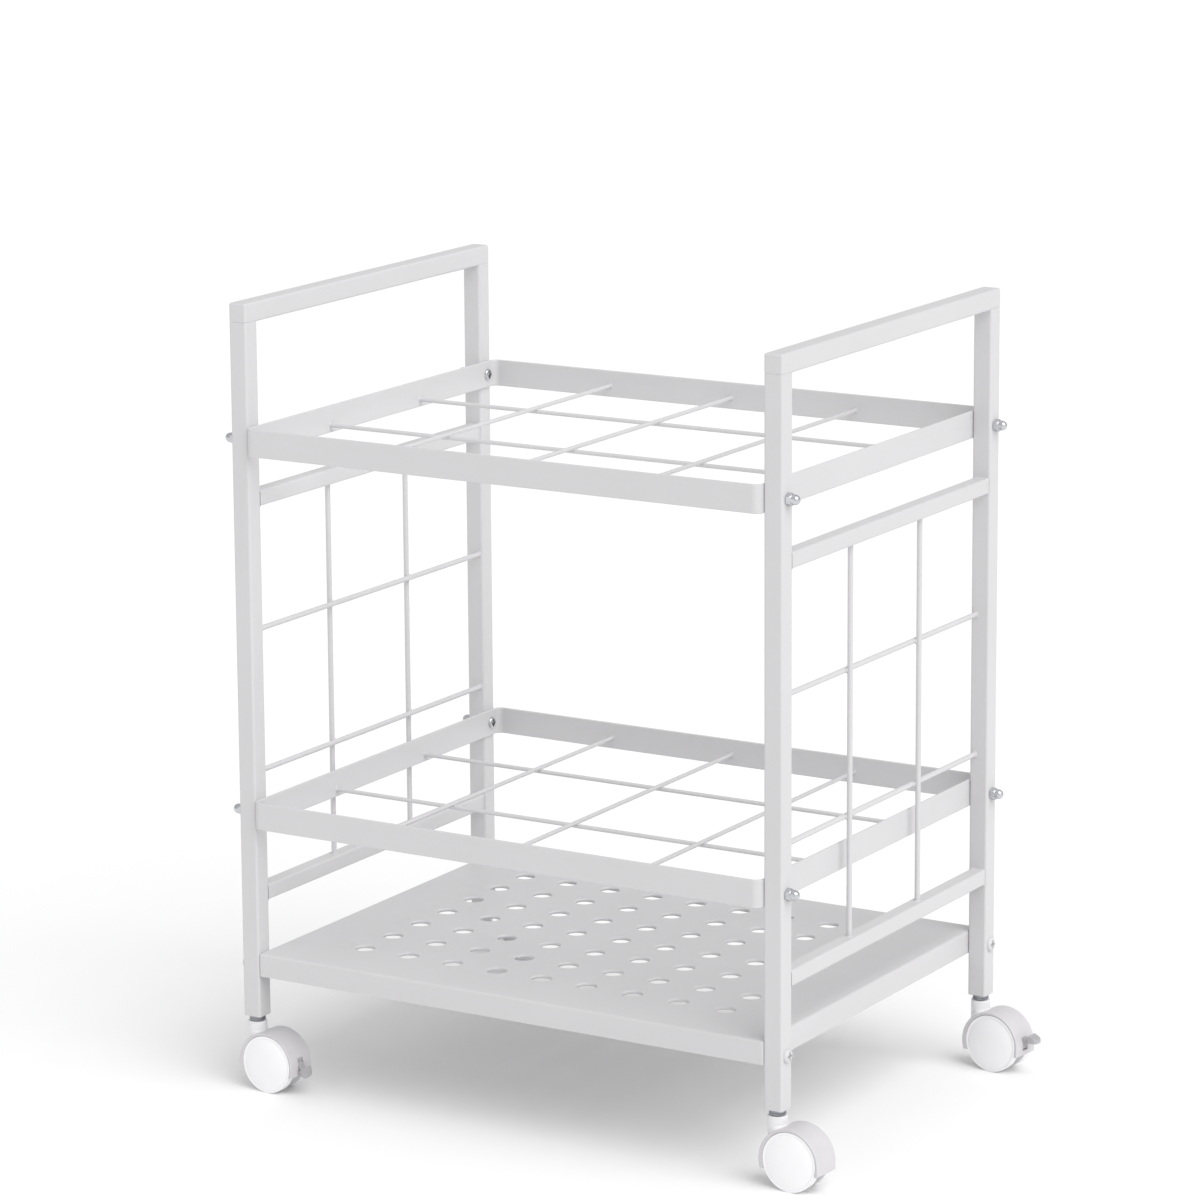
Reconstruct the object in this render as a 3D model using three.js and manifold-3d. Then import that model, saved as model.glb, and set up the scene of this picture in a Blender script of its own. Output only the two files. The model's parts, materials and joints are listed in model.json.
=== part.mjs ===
// Storage cart for long things that stand upright: two welded end frames of square tube,
// two bands with wire dividers, a punched shelf and four twin wheel casters.
// Millimetres, +Z up, +X to the right, -Y to the front. The cart stands on z = 0.

import * as THREE from 'three';
import { mergeGeometries, mergeVertices } from 'three/addons/utils/BufferGeometryUtils.js';
import Module from 'manifold-3d';

const wasm = await Module();
wasm.setup();

// Whole cart
const frameWidth = 466;            // over the outer faces of the legs
const frameDepth = 335;            // over the front and rear faces of the legs
const frameHeight = 546.5;         // from the lower ends of the legs to the top
const legClearance = 56;           // from the floor to the lower ends of the legs

// Square tube of the legs and top bars
const tubeSize = 15;
const tubeWall = 1.2;
const tubeCornerRadius = 1.8;
const tubeCornerSteps = 1;
const plugHeight = 14;             // threaded plug in the lower end of each leg
const ventRadius = 3;              // holes between the legs and the top bar

// Square tube of the middle and low bars
const barSize = 12;
const barWall = 1.2;
const barCornerRadius = 1.5;
const middleBarDrop = 148.5;       // from the top of the frame to the middle of the bar
const lowBarHeight = 94.4;         // from the leg ends to the middle of the bar

// Side grilles
const grilleWireDiameter = 4;
const grilleUprightSpacing = 107;
const grilleLevelShares = [0.307, 0.68];   // of the gap between the low and the middle bar

// Bands and their wire dividers
const bandHeight = 21;
const bandThickness = 2;
const bandCornerRadius = 7;        // outside
const bandCornerSteps = 2;
const bandOverhang = 5;            // past the front and rear faces of the legs
const upperBandDrop = 102.7;       // from the top of the frame to the middle of the strip
const lowerBandHeight = 159.4;     // from the leg ends to the middle of the strip
const dividerWireDiameter = 3.2;
const dividerDrop = 12.25;         // top of the strip to the middle of the upper wires
const dividerColumnSpacing = 109;
const dividerColumns = 3;          // wires from front to back
const dividerRowSpacing = 124;
const dividerRows = 2;             // wires from side to side
const wireSides = 8;
const weldDepth = 0.2;             // how far crossed wires are melted into each other

// Shelf, height of its top above the leg ends
const shelfTopHeight = 50.5;
const shelfEdgeHeight = 17.7;
const shelfSheet = 1.2;
const shelfCornerRadius = 1.8;
const shelfHoleDiameter = 15;
const shelfHoleSides = 10;
const shelfHolePitchX = 39.2;
const shelfHolePitchY = 38.2;
const shelfHoleColumns = 9;
const shelfHoleRows = 7;

// Bolts and cap nuts of the bands
const boltDiameter = 5;
const boltHeadDiameter = 9;
const boltHeadHeight = 2.2;
const nutAcrossFlats = 8.4;
const nutHexHeight = 4;
const nutDomeDiameter = 7.6;
const nutLength = 9.8;
const nutBoreDepth = 5.6;
const boltEndClearance = 0.6;      // from the end of the bolt to the bottom of the nut
const threadClearance = 0.3;
const fastenerSides = 10;

// Screws of the shelf
const screwDiameter = 4;
const screwHeadDiameter = 10.5;
const screwHeadHeight = 2.6;
const screwHeight = 40.2;          // above the leg ends
const screwProtrusion = 2.5;       // past the shelf edge

// Caster stem
const collarDiameter = 12.3;
const collarHeight = 4;
const collarChamfer = 0.7;
const stemDiameter = 8;
const stemLength = 15;             // into the leg
const pivotDiameter = 6;
const pivotLength = 20;            // into the housing
const stemSides = 12;

// Caster wheels
const wheelRadius = 22.1;
const wheelSides = 24;
const wheelRimPlane = 12.6;        // from the middle of the caster to the rim of the outer face
const wheelDomeHeight = 2.4;
const wheelEdgeRadius = 0.8;
const wheelSideGap = 0.5;          // between a wheel and the web
const axleDiameter = 5;
const axleLength = 21;
const axleSides = 12;
const axleClearance = 0.3;
const axleEndGap = 0.5;

// Caster housing
const casterTrail = 17.3;          // from the swivel axis to the wheel axis
const runningGap = 0.3;            // between the housing and the stem
const neckDiameter = 14.5;
const neckSides = 16;
const neckTopChamfer = 0.6;
const webWidth = 10.4;
const hoodWidth = 24.6;
const hoodGap = 0.4;               // between the wheels and the hood
const hoodWall = 2.3;
const hoodShift = 1;               // of the hood towards the neck
const hoodDrop = 1;                // of the middle of the hood below the wheel axis
const hoodLeadingAngle = 197;      // degrees, from straight behind the wheel axis
const hoodBackDepth = 7;           // of the hood's straight back end, below the wheel axis
const hoodSteps = 10;
const casterRestAngles = { front_left: -4, front_right: -4, rear_left: -5, rear_right: -7 };

// Brake lever, placed from the wheel axis
const leverPivotBack = 19.5;
const leverPivotUp = 5;
const leverPivotDiameter = 2.6;
const leverPivotWidth = 9.8;
const leverHubDiameter = 5.2;
const leverArmWidth = 5.4;
const leverArmThickness = 2.4;
const leverPaddleStart = 9.5;
const leverLength = 16.8;
const leverPaddleWidth = 9.6;
const leverPaddleDrop = 1.2;       // of its underside below the pivot
const leverPaddleRise = 5.2;       // of its top above the pivot, next to the arm
const leverTipRise = 1.6;          // of its top above the pivot, at the tip
const leverTipRadius = 3.5;
const leverClearance = 0.5;
const leverUpAngle = 0;            // degrees below level
const leverTravel = 50;            // degrees
const leverSlotSteps = 4;
const leverRestTurns = { front_left: leverTravel, rear_right: 0 };

const overrun = 1;                 // how far a cutting shape runs past what it cuts

// Worked out from the sizes above
const legX = (frameWidth - tubeSize) / 2;
const legY = (frameDepth - tubeSize) / 2;
const legLength = frameHeight - tubeSize;
const innerWidth = frameWidth - tubeSize * 2;
const barLength = frameDepth - tubeSize * 2;
const bandDepth = frameDepth + bandOverhang * 2;
const upperBandHeight = frameHeight - upperBandDrop;
const middleBarHeight = frameHeight - middleBarDrop;
const boltShank = bandThickness + tubeSize + nutBoreDepth - boltEndClearance;
const wheelCornerRadius = wheelRadius / Math.cos(Math.PI / wheelSides);
const pocketRadius = wheelCornerRadius + hoodGap;
const hoodRadius = pocketRadius + hoodWall;
const neckTop = legClearance - collarHeight - runningGap;

// Materials

const powderCoat = new THREE.MeshStandardMaterial({
    name: 'powder_coat', color: 0xe3e3e6, roughness: 0.45, metalness: 0 });
const zincPlate = new THREE.MeshStandardMaterial({
    name: 'zinc_plate', color: 0xc9cbce, roughness: 0.25, metalness: 1 });
const whitePlastic = new THREE.MeshStandardMaterial({
    name: 'white_plastic', color: 0xe6e4e5, roughness: 0.4, metalness: 0 });

// Solids: joining and cutting closed shapes

function toSolid(geometry) {
    const bare = geometry.clone();
    bare.deleteAttribute('normal');
    bare.deleteAttribute('uv');
    const merged = mergeVertices(bare);
    const corners = merged.getIndex().array;
    const kept = [];
    for (let i = 0; i < corners.length; i += 3) {
        const [a, b, c] = corners.slice(i, i + 3);
        if (a !== b && b !== c && c !== a) kept.push(a, b, c);
    }
    return new wasm.Manifold(new wasm.Mesh({
        numProp: 3,
        vertProperties: new Float32Array(merged.getAttribute('position').array),
        triVerts: new Uint32Array(kept),
    }));
}

function toGeometry(solid) {
    const { vertProperties, triVerts } = solid.getMesh();
    const geometry = new THREE.BufferGeometry();
    geometry.setAttribute('position', new THREE.BufferAttribute(vertProperties, 3));
    geometry.setIndex(new THREE.BufferAttribute(triVerts, 1));
    return geometry;
}

function join(...geometries) {
    const solids = geometries.map(toSolid);
    return toGeometry(solids.reduce((whole, piece) => whole.add(piece)));
}

function cut(geometry, ...tools) {
    const solid = tools.map(toSolid).reduce((rest, tool) => rest.subtract(tool), toSolid(geometry));
    return toGeometry(solid);
}

// Shapes

function roundedRectangle(width, height, radius) {
    const x = width / 2;
    const y = height / 2;
    const shape = new THREE.Shape();
    shape.absarc(x - radius, y - radius, radius, 0, Math.PI / 2, false);
    shape.absarc(radius - x, y - radius, radius, Math.PI / 2, Math.PI, false);
    shape.absarc(radius - x, radius - y, radius, Math.PI, Math.PI * 1.5, false);
    shape.absarc(x - radius, radius - y, radius, Math.PI * 1.5, Math.PI * 2, false);
    return shape;
}

// A shape in the XY plane carried along Z from one height to another
function prism(shape, low, high, steps) {
    const settings = { depth: high - low, bevelEnabled: false, curveSegments: steps };
    return new THREE.ExtrudeGeometry(shape, settings).translate(0, 0, low);
}

function box(lowX, highX, lowY, highY, lowZ, highZ) {
    const block = new THREE.BoxGeometry(highX - lowX, highY - lowY, highZ - lowZ);
    return block.translate((lowX + highX) / 2, (lowY + highY) / 2, (lowZ + highZ) / 2);
}

// A many sided rod whose flats touch the given radius, turned so that a flat lies at the bottom
function rod(radius, length, sides) {
    const corner = radius / Math.cos(Math.PI / sides);
    return new THREE.CylinderGeometry(corner, corner, length, sides, 1, false, Math.PI / sides);
}

const rodAlongX = (radius, length, sides) => rod(radius, length, sides).rotateZ(Math.PI / 2);
const rodAlongY = rod;
const rodAlongZ = (radius, length, sides) => rod(radius, length, sides).rotateX(Math.PI / 2);

// A profile of [radius, height] points, listed upwards on the outside, spun about Y
function spun(profile, sides, turn = 0) {
    const points = profile.map(([radius, height]) => new THREE.Vector2(radius, height));
    return new THREE.LatheGeometry(points, sides, turn);
}

// End frames

function makeLegShape() {
    const bore = tubeSize - tubeWall * 2;
    const boreRadius = tubeCornerRadius - tubeWall;
    const tube = prism(roundedRectangle(tubeSize, tubeSize, tubeCornerRadius), 0, legLength, tubeCornerSteps);
    const hollow = prism(roundedRectangle(bore, bore, boreRadius), plugHeight, legLength + overrun, 1);
    const stemHole = rodAlongZ(stemDiameter / 2 + threadClearance, (plugHeight + overrun) * 2, stemSides);
    const through = tubeSize + overrun * 2;
    const boltHoles = [lowerBandHeight, upperBandHeight].map((height) =>
        rodAlongX(boltDiameter / 2 + threadClearance, through, fastenerSides).translate(0, 0, height));
    const screwHole = rodAlongX(screwDiameter / 2 + threadClearance, through, fastenerSides);
    return cut(tube, hollow, stemHole, ...boltHoles, screwHole.translate(0, 0, screwHeight));
}

function makeTopBarShape() {
    const bore = tubeSize - tubeWall * 2;
    const boreRadius = tubeCornerRadius - tubeWall;
    const half = frameDepth / 2;
    const tube = prism(roundedRectangle(tubeSize, tubeSize, tubeCornerRadius), -half, half, tubeCornerSteps);
    const hollow = prism(roundedRectangle(bore, bore, boreRadius), tubeWall - half, half - tubeWall, 1);
    const vents = [-legY, legY].map((y) =>
        rodAlongZ(ventRadius, tubeSize, fastenerSides).translate(0, y, -tubeSize / 2));
    return cut(tube.rotateX(Math.PI / 2), hollow.rotateX(Math.PI / 2), ...vents);
}

function makeBarShape() {
    const bore = barSize - barWall * 2;
    const half = barLength / 2;
    const tube = prism(roundedRectangle(barSize, barSize, barCornerRadius), -half, half, tubeCornerSteps);
    const boreShape = roundedRectangle(bore, bore, barCornerRadius - barWall);
    const hollow = prism(boreShape, -half - overrun, half + overrun, 1);
    return cut(tube.rotateX(Math.PI / 2), hollow.rotateX(Math.PI / 2));
}

// Two uprights between the bars, and two level wires between the legs on their inner side
function makeGrilleShape(side) {
    const radius = grilleWireDiameter / 2;
    const low = lowBarHeight + barSize / 2;
    const high = middleBarHeight - barSize / 2;
    const uprights = [-grilleUprightSpacing / 2, grilleUprightSpacing / 2].map((y) =>
        rodAlongZ(radius, high - low, wireSides).translate(0, y, (low + high) / 2));
    const inward = -side * (grilleWireDiameter - weldDepth);
    const levels = grilleLevelShares.map((share) =>
        rodAlongY(radius, barLength, wireSides).translate(inward, 0, low + (high - low) * share));
    return join(...uprights, ...levels);
}

// Bands and dividers, made about the middle of the strip

function makeBandShape() {
    const half = bandHeight / 2;
    const outside = roundedRectangle(innerWidth, bandDepth, bandCornerRadius);
    const inside = roundedRectangle(
        innerWidth - bandThickness * 2, bandDepth - bandThickness * 2, bandCornerRadius - bandThickness);
    const strip = cut(
        prism(outside, -half, half, bandCornerSteps),
        prism(inside, -half - overrun, half + overrun, bandCornerSteps));
    const boltHole = boltDiameter / 2 + threadClearance;
    const across = innerWidth + overrun * 2;
    const holes = [-legY, legY].map((y) =>
        rodAlongX(boltHole, across, fastenerSides).translate(0, y, 0));
    return cut(strip, ...holes);
}

function evenPlaces(count, spacing) {
    return Array.from({ length: count }, (unused, i) => (i - (count - 1) / 2) * spacing);
}

function makeDividerShape() {
    const radius = dividerWireDiameter / 2;
    const columnHeight = bandHeight / 2 - dividerDrop;
    const rowHeight = columnHeight - dividerWireDiameter + weldDepth;
    const columnLength = bandDepth - bandThickness * 2;
    const rowLength = innerWidth - bandThickness * 2;
    const columns = evenPlaces(dividerColumns, dividerColumnSpacing).map((x) =>
        rodAlongY(radius, columnLength, wireSides).translate(x, 0, columnHeight));
    const rows = evenPlaces(dividerRows, dividerRowSpacing).map((y) =>
        rodAlongX(radius, rowLength, wireSides).translate(0, y, rowHeight));
    return join(...columns, ...rows);
}

// Shelf, made with its top at z = 0

function makeShelfShape() {
    const innerDepth = frameDepth - shelfSheet * 2;
    const outside = roundedRectangle(innerWidth, frameDepth, shelfCornerRadius);
    const pan = prism(outside, -shelfEdgeHeight, 0, tubeCornerSteps);
    const inside = roundedRectangle(innerWidth - shelfSheet * 2, innerDepth, shelfCornerRadius - shelfSheet);
    const under = prism(inside, -shelfEdgeHeight - overrun, -shelfSheet, 1);
    const holes = [];
    for (const x of evenPlaces(shelfHoleColumns, shelfHolePitchX)) {
        for (const y of evenPlaces(shelfHoleRows, shelfHolePitchY)) {
            holes.push(rodAlongZ(shelfHoleDiameter / 2, shelfEdgeHeight, shelfHoleSides).translate(x, y, 0));
        }
    }
    const screwHoles = [-legY, legY].map((y) =>
        rodAlongX(screwDiameter / 2 + threadClearance, innerWidth + overrun * 2, fastenerSides)
            .translate(0, y, screwHeight - shelfTopHeight));
    return cut(pan, under, mergeGeometries(holes), ...screwHoles);
}

// Fasteners, spun about Y and then laid along X, with x = 0 at the seat of the head or nut

const laidAlongX = (geometry) => geometry.rotateZ(-Math.PI / 2);

function makeBoltShape() {
    const head = boltHeadDiameter / 2;
    const shank = boltDiameter / 2;
    const crownShare = 0.6;
    return laidAlongX(spun([
        [0, -boltHeadHeight],
        [head * crownShare, -boltHeadHeight],
        [head, -boltHeadHeight / 2],
        [head, 0],
        [shank, 0],
        [shank, boltShank],
        [0, boltShank],
    ], fastenerSides));
}

function makeCapNutShape() {
    const bore = boltDiameter / 2 + threadClearance;
    const dome = nutDomeDiameter / 2;
    const domeHeight = nutLength - nutHexHeight;
    const domeShares = [[1, 0], [0.86, 0.55], [0.5, 0.88], [0, 1]];
    const hex = rod(nutAcrossFlats / 2, nutHexHeight, 6).translate(0, nutHexHeight / 2, 0);
    const domeProfile = domeShares.map(([across, up]) => [dome * across, nutHexHeight + domeHeight * up]);
    const cap = spun([[0, 0], [dome, 0], ...domeProfile], fastenerSides);
    const hole = rod(bore, nutBoreDepth * 2, fastenerSides);
    return laidAlongX(cut(join(hex, cap), hole));
}

function makeScrewShape() {
    const head = screwHeadDiameter / 2;
    const shank = screwDiameter / 2;
    const shankLength = tubeSize + shelfSheet + screwProtrusion;
    const headShares = [[1, 0], [1, 0.35], [0.7, 0.9], [0, 1]];
    const headProfile = headShares.map(([across, up]) => [head * across, screwHeadHeight * up]);
    return laidAlongX(spun([
        [0, -shankLength],
        [shank, -shankLength],
        [shank, 0],
        ...headProfile,
    ], fastenerSides));
}

// Casters, made about the swivel axis with +X to where the wheels trail and +Y along the axle

function makeStemShape() {
    const collar = collarDiameter / 2;
    const collarBottom = legClearance - collarHeight;
    const stem = stemDiameter / 2;
    const pivot = pivotDiameter / 2;
    return spun([
        [0, collarBottom - pivotLength],
        [pivot, collarBottom - pivotLength],
        [pivot, collarBottom],
        [collar - collarChamfer, collarBottom],
        [collar, collarBottom + collarChamfer],
        [collar, legClearance - collarChamfer],
        [collar - collarChamfer, legClearance],
        [stem, legClearance],
        [stem, legClearance + stemLength],
        [0, legClearance + stemLength],
    ], stemSides).rotateX(Math.PI / 2);
}

// The hood's outline, seen from the side, with the wheel axis at the origin and +Y up
function hoodOutline() {
    const radians = THREE.MathUtils.degToRad;
    const outline = new THREE.Shape();
    outline.absarc(-hoodShift, -hoodDrop, hoodRadius, 0, radians(hoodLeadingAngle), false);
    outline.lineTo(hoodRadius - hoodShift, -hoodBackDepth);
    outline.closePath();
    return outline;
}

function leverAt(geometry, turn) {
    return geometry.rotateY(THREE.MathUtils.degToRad(leverUpAngle + turn))
        .translate(leverPivotBack, 0, leverPivotUp);
}

// What the lever sweeps, with its clearance, about the wheel axis
function leverSlots() {
    const paddleHalf = leverPaddleWidth / 2 + leverClearance;
    const armHalf = leverArmWidth / 2 + leverClearance;
    const paddleLow = -leverPaddleDrop - leverClearance;
    const paddleHigh = leverPaddleRise + leverClearance;
    const armRise = leverArmThickness / 2 + leverClearance;
    const reach = leverLength + leverClearance;
    const slots = [
        leverAt(rodAlongY(leverPivotDiameter / 2 + leverClearance, webWidth + overrun * 2, fastenerSides), 0),
        leverAt(rodAlongY(leverHubDiameter / 2 + leverClearance, armHalf * 2, fastenerSides), 0),
    ];
    for (let step = 0; step <= leverSlotSteps; step += 1) {
        const turn = leverTravel * step / leverSlotSteps;
        const start = leverPaddleStart - leverClearance;
        slots.push(leverAt(box(start, reach, -paddleHalf, paddleHalf, paddleLow, paddleHigh), turn));
        slots.push(leverAt(box(0, leverPaddleStart, -armHalf, armHalf, -armRise, armRise), turn));
    }
    return slots;
}

function makeHousingShape(hasBrake) {
    const half = hoodWidth / 2;
    const pocketDepth = (hoodWidth - webWidth) / 2 + overrun;
    const pocketMiddle = (webWidth + pocketDepth) / 2;
    const hood = prism(hoodOutline(), -half, half, hoodSteps).rotateX(Math.PI / 2);
    const neckHeight = neckTop - wheelRadius;
    const neckRadius = neckDiameter / 2;
    const neck = spun([
        [0, 0],
        [neckRadius, 0],
        [neckRadius, neckHeight - neckTopChamfer],
        [neckRadius - neckTopChamfer, neckHeight],
        [0, neckHeight],
    ], neckSides).rotateX(Math.PI / 2).translate(-casterTrail, 0, 0);
    const pockets = [-pocketMiddle, pocketMiddle].map((y) =>
        rodAlongY(pocketRadius, pocketDepth, wheelSides).translate(0, y, 0));
    const bore = rodAlongZ(pivotDiameter / 2 + runningGap, pivotLength + overrun, stemSides)
        .translate(-casterTrail, 0, neckHeight - (pivotLength - overrun) / 2);
    const axleHole = rodAlongY(axleDiameter / 2 + axleClearance, webWidth + overrun * 2, axleSides);
    const slots = hasBrake ? leverSlots() : [];
    const housing = cut(join(hood, neck), ...pockets, bore, axleHole, ...slots);
    return housing.translate(casterTrail, 0, wheelRadius);
}

function makeAxleShape() {
    return rodAlongY(axleDiameter / 2, axleLength, axleSides);
}

// A wheel about its axis, with its domed face at the far end of +Y
function makeWheelShape() {
    const inner = webWidth / 2 + wheelSideGap;
    const bore = axleDiameter / 2 + axleClearance;
    const boreEnd = axleLength / 2 + axleEndGap;
    const edge = wheelEdgeRadius;
    const domeShares = [[0.66, 0.62], [0.33, 0.91], [0, 1]];
    const domeEdge = wheelCornerRadius - edge * 2;
    const dome = domeShares.map(([across, up]) => [domeEdge * across, wheelRimPlane + wheelDomeHeight * up]);
    return spun([
        [0, boreEnd],
        [bore, boreEnd],
        [bore, inner],
        [wheelCornerRadius, inner],
        [wheelCornerRadius, wheelRimPlane - edge],
        [wheelCornerRadius - edge, wheelRimPlane],
        [domeEdge, wheelRimPlane],
        ...dome,
    ], wheelSides, Math.PI / wheelSides);
}

// What is cut off the lever's paddle, so that its top slopes down to the tip, seen from the side
function leverSlope() {
    const half = leverPaddleWidth / 2 + overrun;
    const slope = new THREE.Shape();
    slope.moveTo(leverPaddleStart, leverPaddleRise);
    slope.lineTo(leverLength, leverTipRise);
    slope.lineTo(leverLength + overrun, leverTipRise);
    slope.lineTo(leverLength + overrun, leverPaddleRise + overrun);
    slope.lineTo(leverPaddleStart, leverPaddleRise + overrun);
    slope.closePath();
    return prism(slope, -half, half, 1).rotateX(Math.PI / 2);
}

// The brake lever about its pivot, with its paddle towards +X
function makeLeverShape() {
    const half = leverPaddleWidth / 2;
    const paddle = new THREE.Shape();
    paddle.moveTo(leverPaddleStart, half);
    paddle.lineTo(leverPaddleStart, -half);
    const tip = leverLength - leverTipRadius;
    paddle.absarc(tip, leverTipRadius - half, leverTipRadius, -Math.PI / 2, 0, false);
    paddle.absarc(tip, half - leverTipRadius, leverTipRadius, 0, Math.PI / 2, false);
    const block = prism(paddle, -leverPaddleDrop, leverPaddleRise, tubeCornerSteps * 2);
    const armRise = leverArmThickness / 2;
    const armHalf = leverArmWidth / 2;
    return join(
        cut(block, leverSlope()),
        box(0, leverPaddleStart + overrun, -armHalf, armHalf, -armRise, armRise),
        rodAlongY(leverHubDiameter / 2, leverArmWidth, fastenerSides),
        rodAlongY(leverPivotDiameter / 2, leverPivotWidth, fastenerSides));
}

// The assembly

const cart = new THREE.Group();

function addPiece(parent, name, geometry, material, x, y, z) {
    const mesh = new THREE.Mesh(geometry, material);
    mesh.name = name;
    mesh.position.set(x, y, z);
    parent.add(mesh);
    return mesh;
}

const sides = { left: -1, right: 1 };
const ends = { front: -1, rear: 1 };

function addEndFrames() {
    const leg = makeLegShape();
    const topBar = makeTopBarShape();
    const bar = makeBarShape();
    const topBarHeight = legClearance + frameHeight - tubeSize / 2;
    for (const [sideName, side] of Object.entries(sides)) {
        const x = side * legX;
        for (const [endName, end] of Object.entries(ends)) {
            addPiece(cart, `leg_${endName}_${sideName}`, leg, powderCoat, x, end * legY, legClearance);
        }
        addPiece(cart, `top_bar_${sideName}`, topBar, powderCoat, x, 0, topBarHeight);
        addPiece(cart, `middle_bar_${sideName}`, bar, powderCoat, x, 0, legClearance + middleBarHeight);
        addPiece(cart, `low_bar_${sideName}`, bar, powderCoat, x, 0, legClearance + lowBarHeight);
        addPiece(cart, `side_grille_${sideName}`, makeGrilleShape(side), powderCoat, x, 0, legClearance);
    }
}

function addBands() {
    const band = makeBandShape();
    const divider = makeDividerShape();
    for (const [name, height] of [['upper', upperBandHeight], ['lower', lowerBandHeight]]) {
        addPiece(cart, `${name}_band`, band, powderCoat, 0, 0, legClearance + height);
        addPiece(cart, `${name}_divider_wires`, divider, powderCoat, 0, 0, legClearance + height);
    }
}

// A fastener that points away from the middle of the cart
function addFastener(name, geometry, material, side, seat, y, z) {
    const mesh = addPiece(cart, name, geometry, material, side * seat, y, z);
    mesh.rotation.z = side > 0 ? 0 : Math.PI;
}

function addFasteners() {
    const bolt = makeBoltShape();
    const nut = makeCapNutShape();
    const screw = makeScrewShape();
    const outerFace = frameWidth / 2;
    const bandInside = innerWidth / 2 - bandThickness;
    for (const [sideName, side] of Object.entries(sides)) {
        for (const [endName, end] of Object.entries(ends)) {
            const corner = `${endName}_${sideName}`;
            const y = end * legY;
            for (const [name, height] of [['upper', upperBandHeight], ['lower', lowerBandHeight]]) {
                const z = legClearance + height;
                addFastener(`${name}_bolt_${corner}`, bolt, zincPlate, side, bandInside, y, z);
                addFastener(`${name}_cap_nut_${corner}`, nut, zincPlate, side, outerFace, y, z);
            }
            const screwZ = legClearance + screwHeight;
            addFastener(`shelf_screw_${corner}`, screw, powderCoat, side, outerFace, y, screwZ);
        }
    }
}

function addCaster(corner, x, y) {
    const turned = new THREE.Group();
    turned.position.set(x, y, 0);
    turned.rotation.z = THREE.MathUtils.degToRad(casterRestAngles[corner]);
    cart.add(turned);
    const hasBrake = corner in leverRestTurns;
    addPiece(cart, `caster_stem_${corner}`, makeStemShape(), zincPlate, x, y, 0);
    addPiece(turned, `caster_housing_${corner}`, makeHousingShape(hasBrake), whitePlastic, 0, 0, 0);
    addPiece(turned, `caster_axle_${corner}`, makeAxleShape(), zincPlate, casterTrail, 0, wheelRadius);
    for (const [letter, turn] of [['a', Math.PI], ['b', 0]]) {
        const name = `caster_wheel_${letter}_${corner}`;
        const wheel = addPiece(turned, name, makeWheelShape(), whitePlastic, casterTrail, 0, wheelRadius);
        wheel.rotation.z = turn;
    }
    if (hasBrake) {
        const lever = addPiece(turned, `brake_lever_${corner}`, makeLeverShape(), whitePlastic,
            casterTrail + leverPivotBack, 0, wheelRadius + leverPivotUp);
        lever.rotation.y = THREE.MathUtils.degToRad(leverUpAngle + leverRestTurns[corner]);
    }
}

addEndFrames();
addBands();
addPiece(cart, 'shelf', makeShelfShape(), powderCoat, 0, 0, legClearance + shelfTopHeight);
addFasteners();
for (const [sideName, side] of Object.entries(sides)) {
    for (const [endName, end] of Object.entries(ends)) {
        addCaster(`${endName}_${sideName}`, side * legX, end * legY);
    }
}

// The origin is on the floor, in the middle of the room that the cart takes up
const room = new THREE.Box3().setFromObject(cart, true);
const middle = room.getCenter(new THREE.Vector3());
cart.position.set(-middle.x, -middle.y, 0);

export default cart;
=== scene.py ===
# %% [markdown]
# A steel storage cart, dressed for a picture.
#
# The cart is square tube, flat strip, round wire, one punched shelf and four twin wheel casters.
# The solids of the part already stand in the right places. Here each of them gets its finished
# skin, with rounded tube edges, welds, turned lips, domed nuts and moulded casters.

# %% Load the frame
import json
import math

import bpy
import numpy as np
from mathutils import Matrix, Vector


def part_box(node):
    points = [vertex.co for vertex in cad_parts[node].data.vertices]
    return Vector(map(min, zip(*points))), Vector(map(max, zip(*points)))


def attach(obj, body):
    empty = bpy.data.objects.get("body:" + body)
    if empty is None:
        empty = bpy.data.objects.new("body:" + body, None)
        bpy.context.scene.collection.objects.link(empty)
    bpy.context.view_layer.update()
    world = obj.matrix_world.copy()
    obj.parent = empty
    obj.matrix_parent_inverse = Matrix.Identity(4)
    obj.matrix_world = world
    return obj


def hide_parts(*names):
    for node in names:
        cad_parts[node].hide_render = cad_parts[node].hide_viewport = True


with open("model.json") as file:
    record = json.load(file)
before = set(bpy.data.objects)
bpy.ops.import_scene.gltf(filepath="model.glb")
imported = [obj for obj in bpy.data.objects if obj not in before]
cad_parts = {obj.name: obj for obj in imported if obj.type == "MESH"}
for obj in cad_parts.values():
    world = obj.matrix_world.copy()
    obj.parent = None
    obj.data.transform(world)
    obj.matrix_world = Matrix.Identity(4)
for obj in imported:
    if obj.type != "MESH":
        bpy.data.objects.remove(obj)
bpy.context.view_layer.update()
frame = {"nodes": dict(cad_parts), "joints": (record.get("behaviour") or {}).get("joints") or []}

# %% [markdown]
# Sizes come from the solids.
#
# Every length of a piece is in millimetres, as a workshop reads a drawing. The box of each solid
# gives its place, so nothing has to be fitted by eye, and only the function that makes a piece
# turns millimetres into Blender's metres. Floor, lights and camera are given in metres.

# %% Read the boxes of the solids in millimetres
METRE = 1000.0


def box_of(node):
    """The lowest corner, the highest corner and the middle of a solid's box, in millimetres."""
    low, high = np.array(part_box(node)) * METRE
    return low, high, (low + high) / 2


print("shelf from", box_of("shelf")[0].round(1), "to", box_of("shelf")[1].round(1))

# %% [markdown]
# Surfaces as grids.
#
# A grid of points worked out as one array is quick to change and says what the shape is: rows run
# along the piece, columns run round it. Where a row shrinks to one point, or two columns meet, the
# points are merged and the faces there lose a side, which closes poles and seams.

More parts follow.
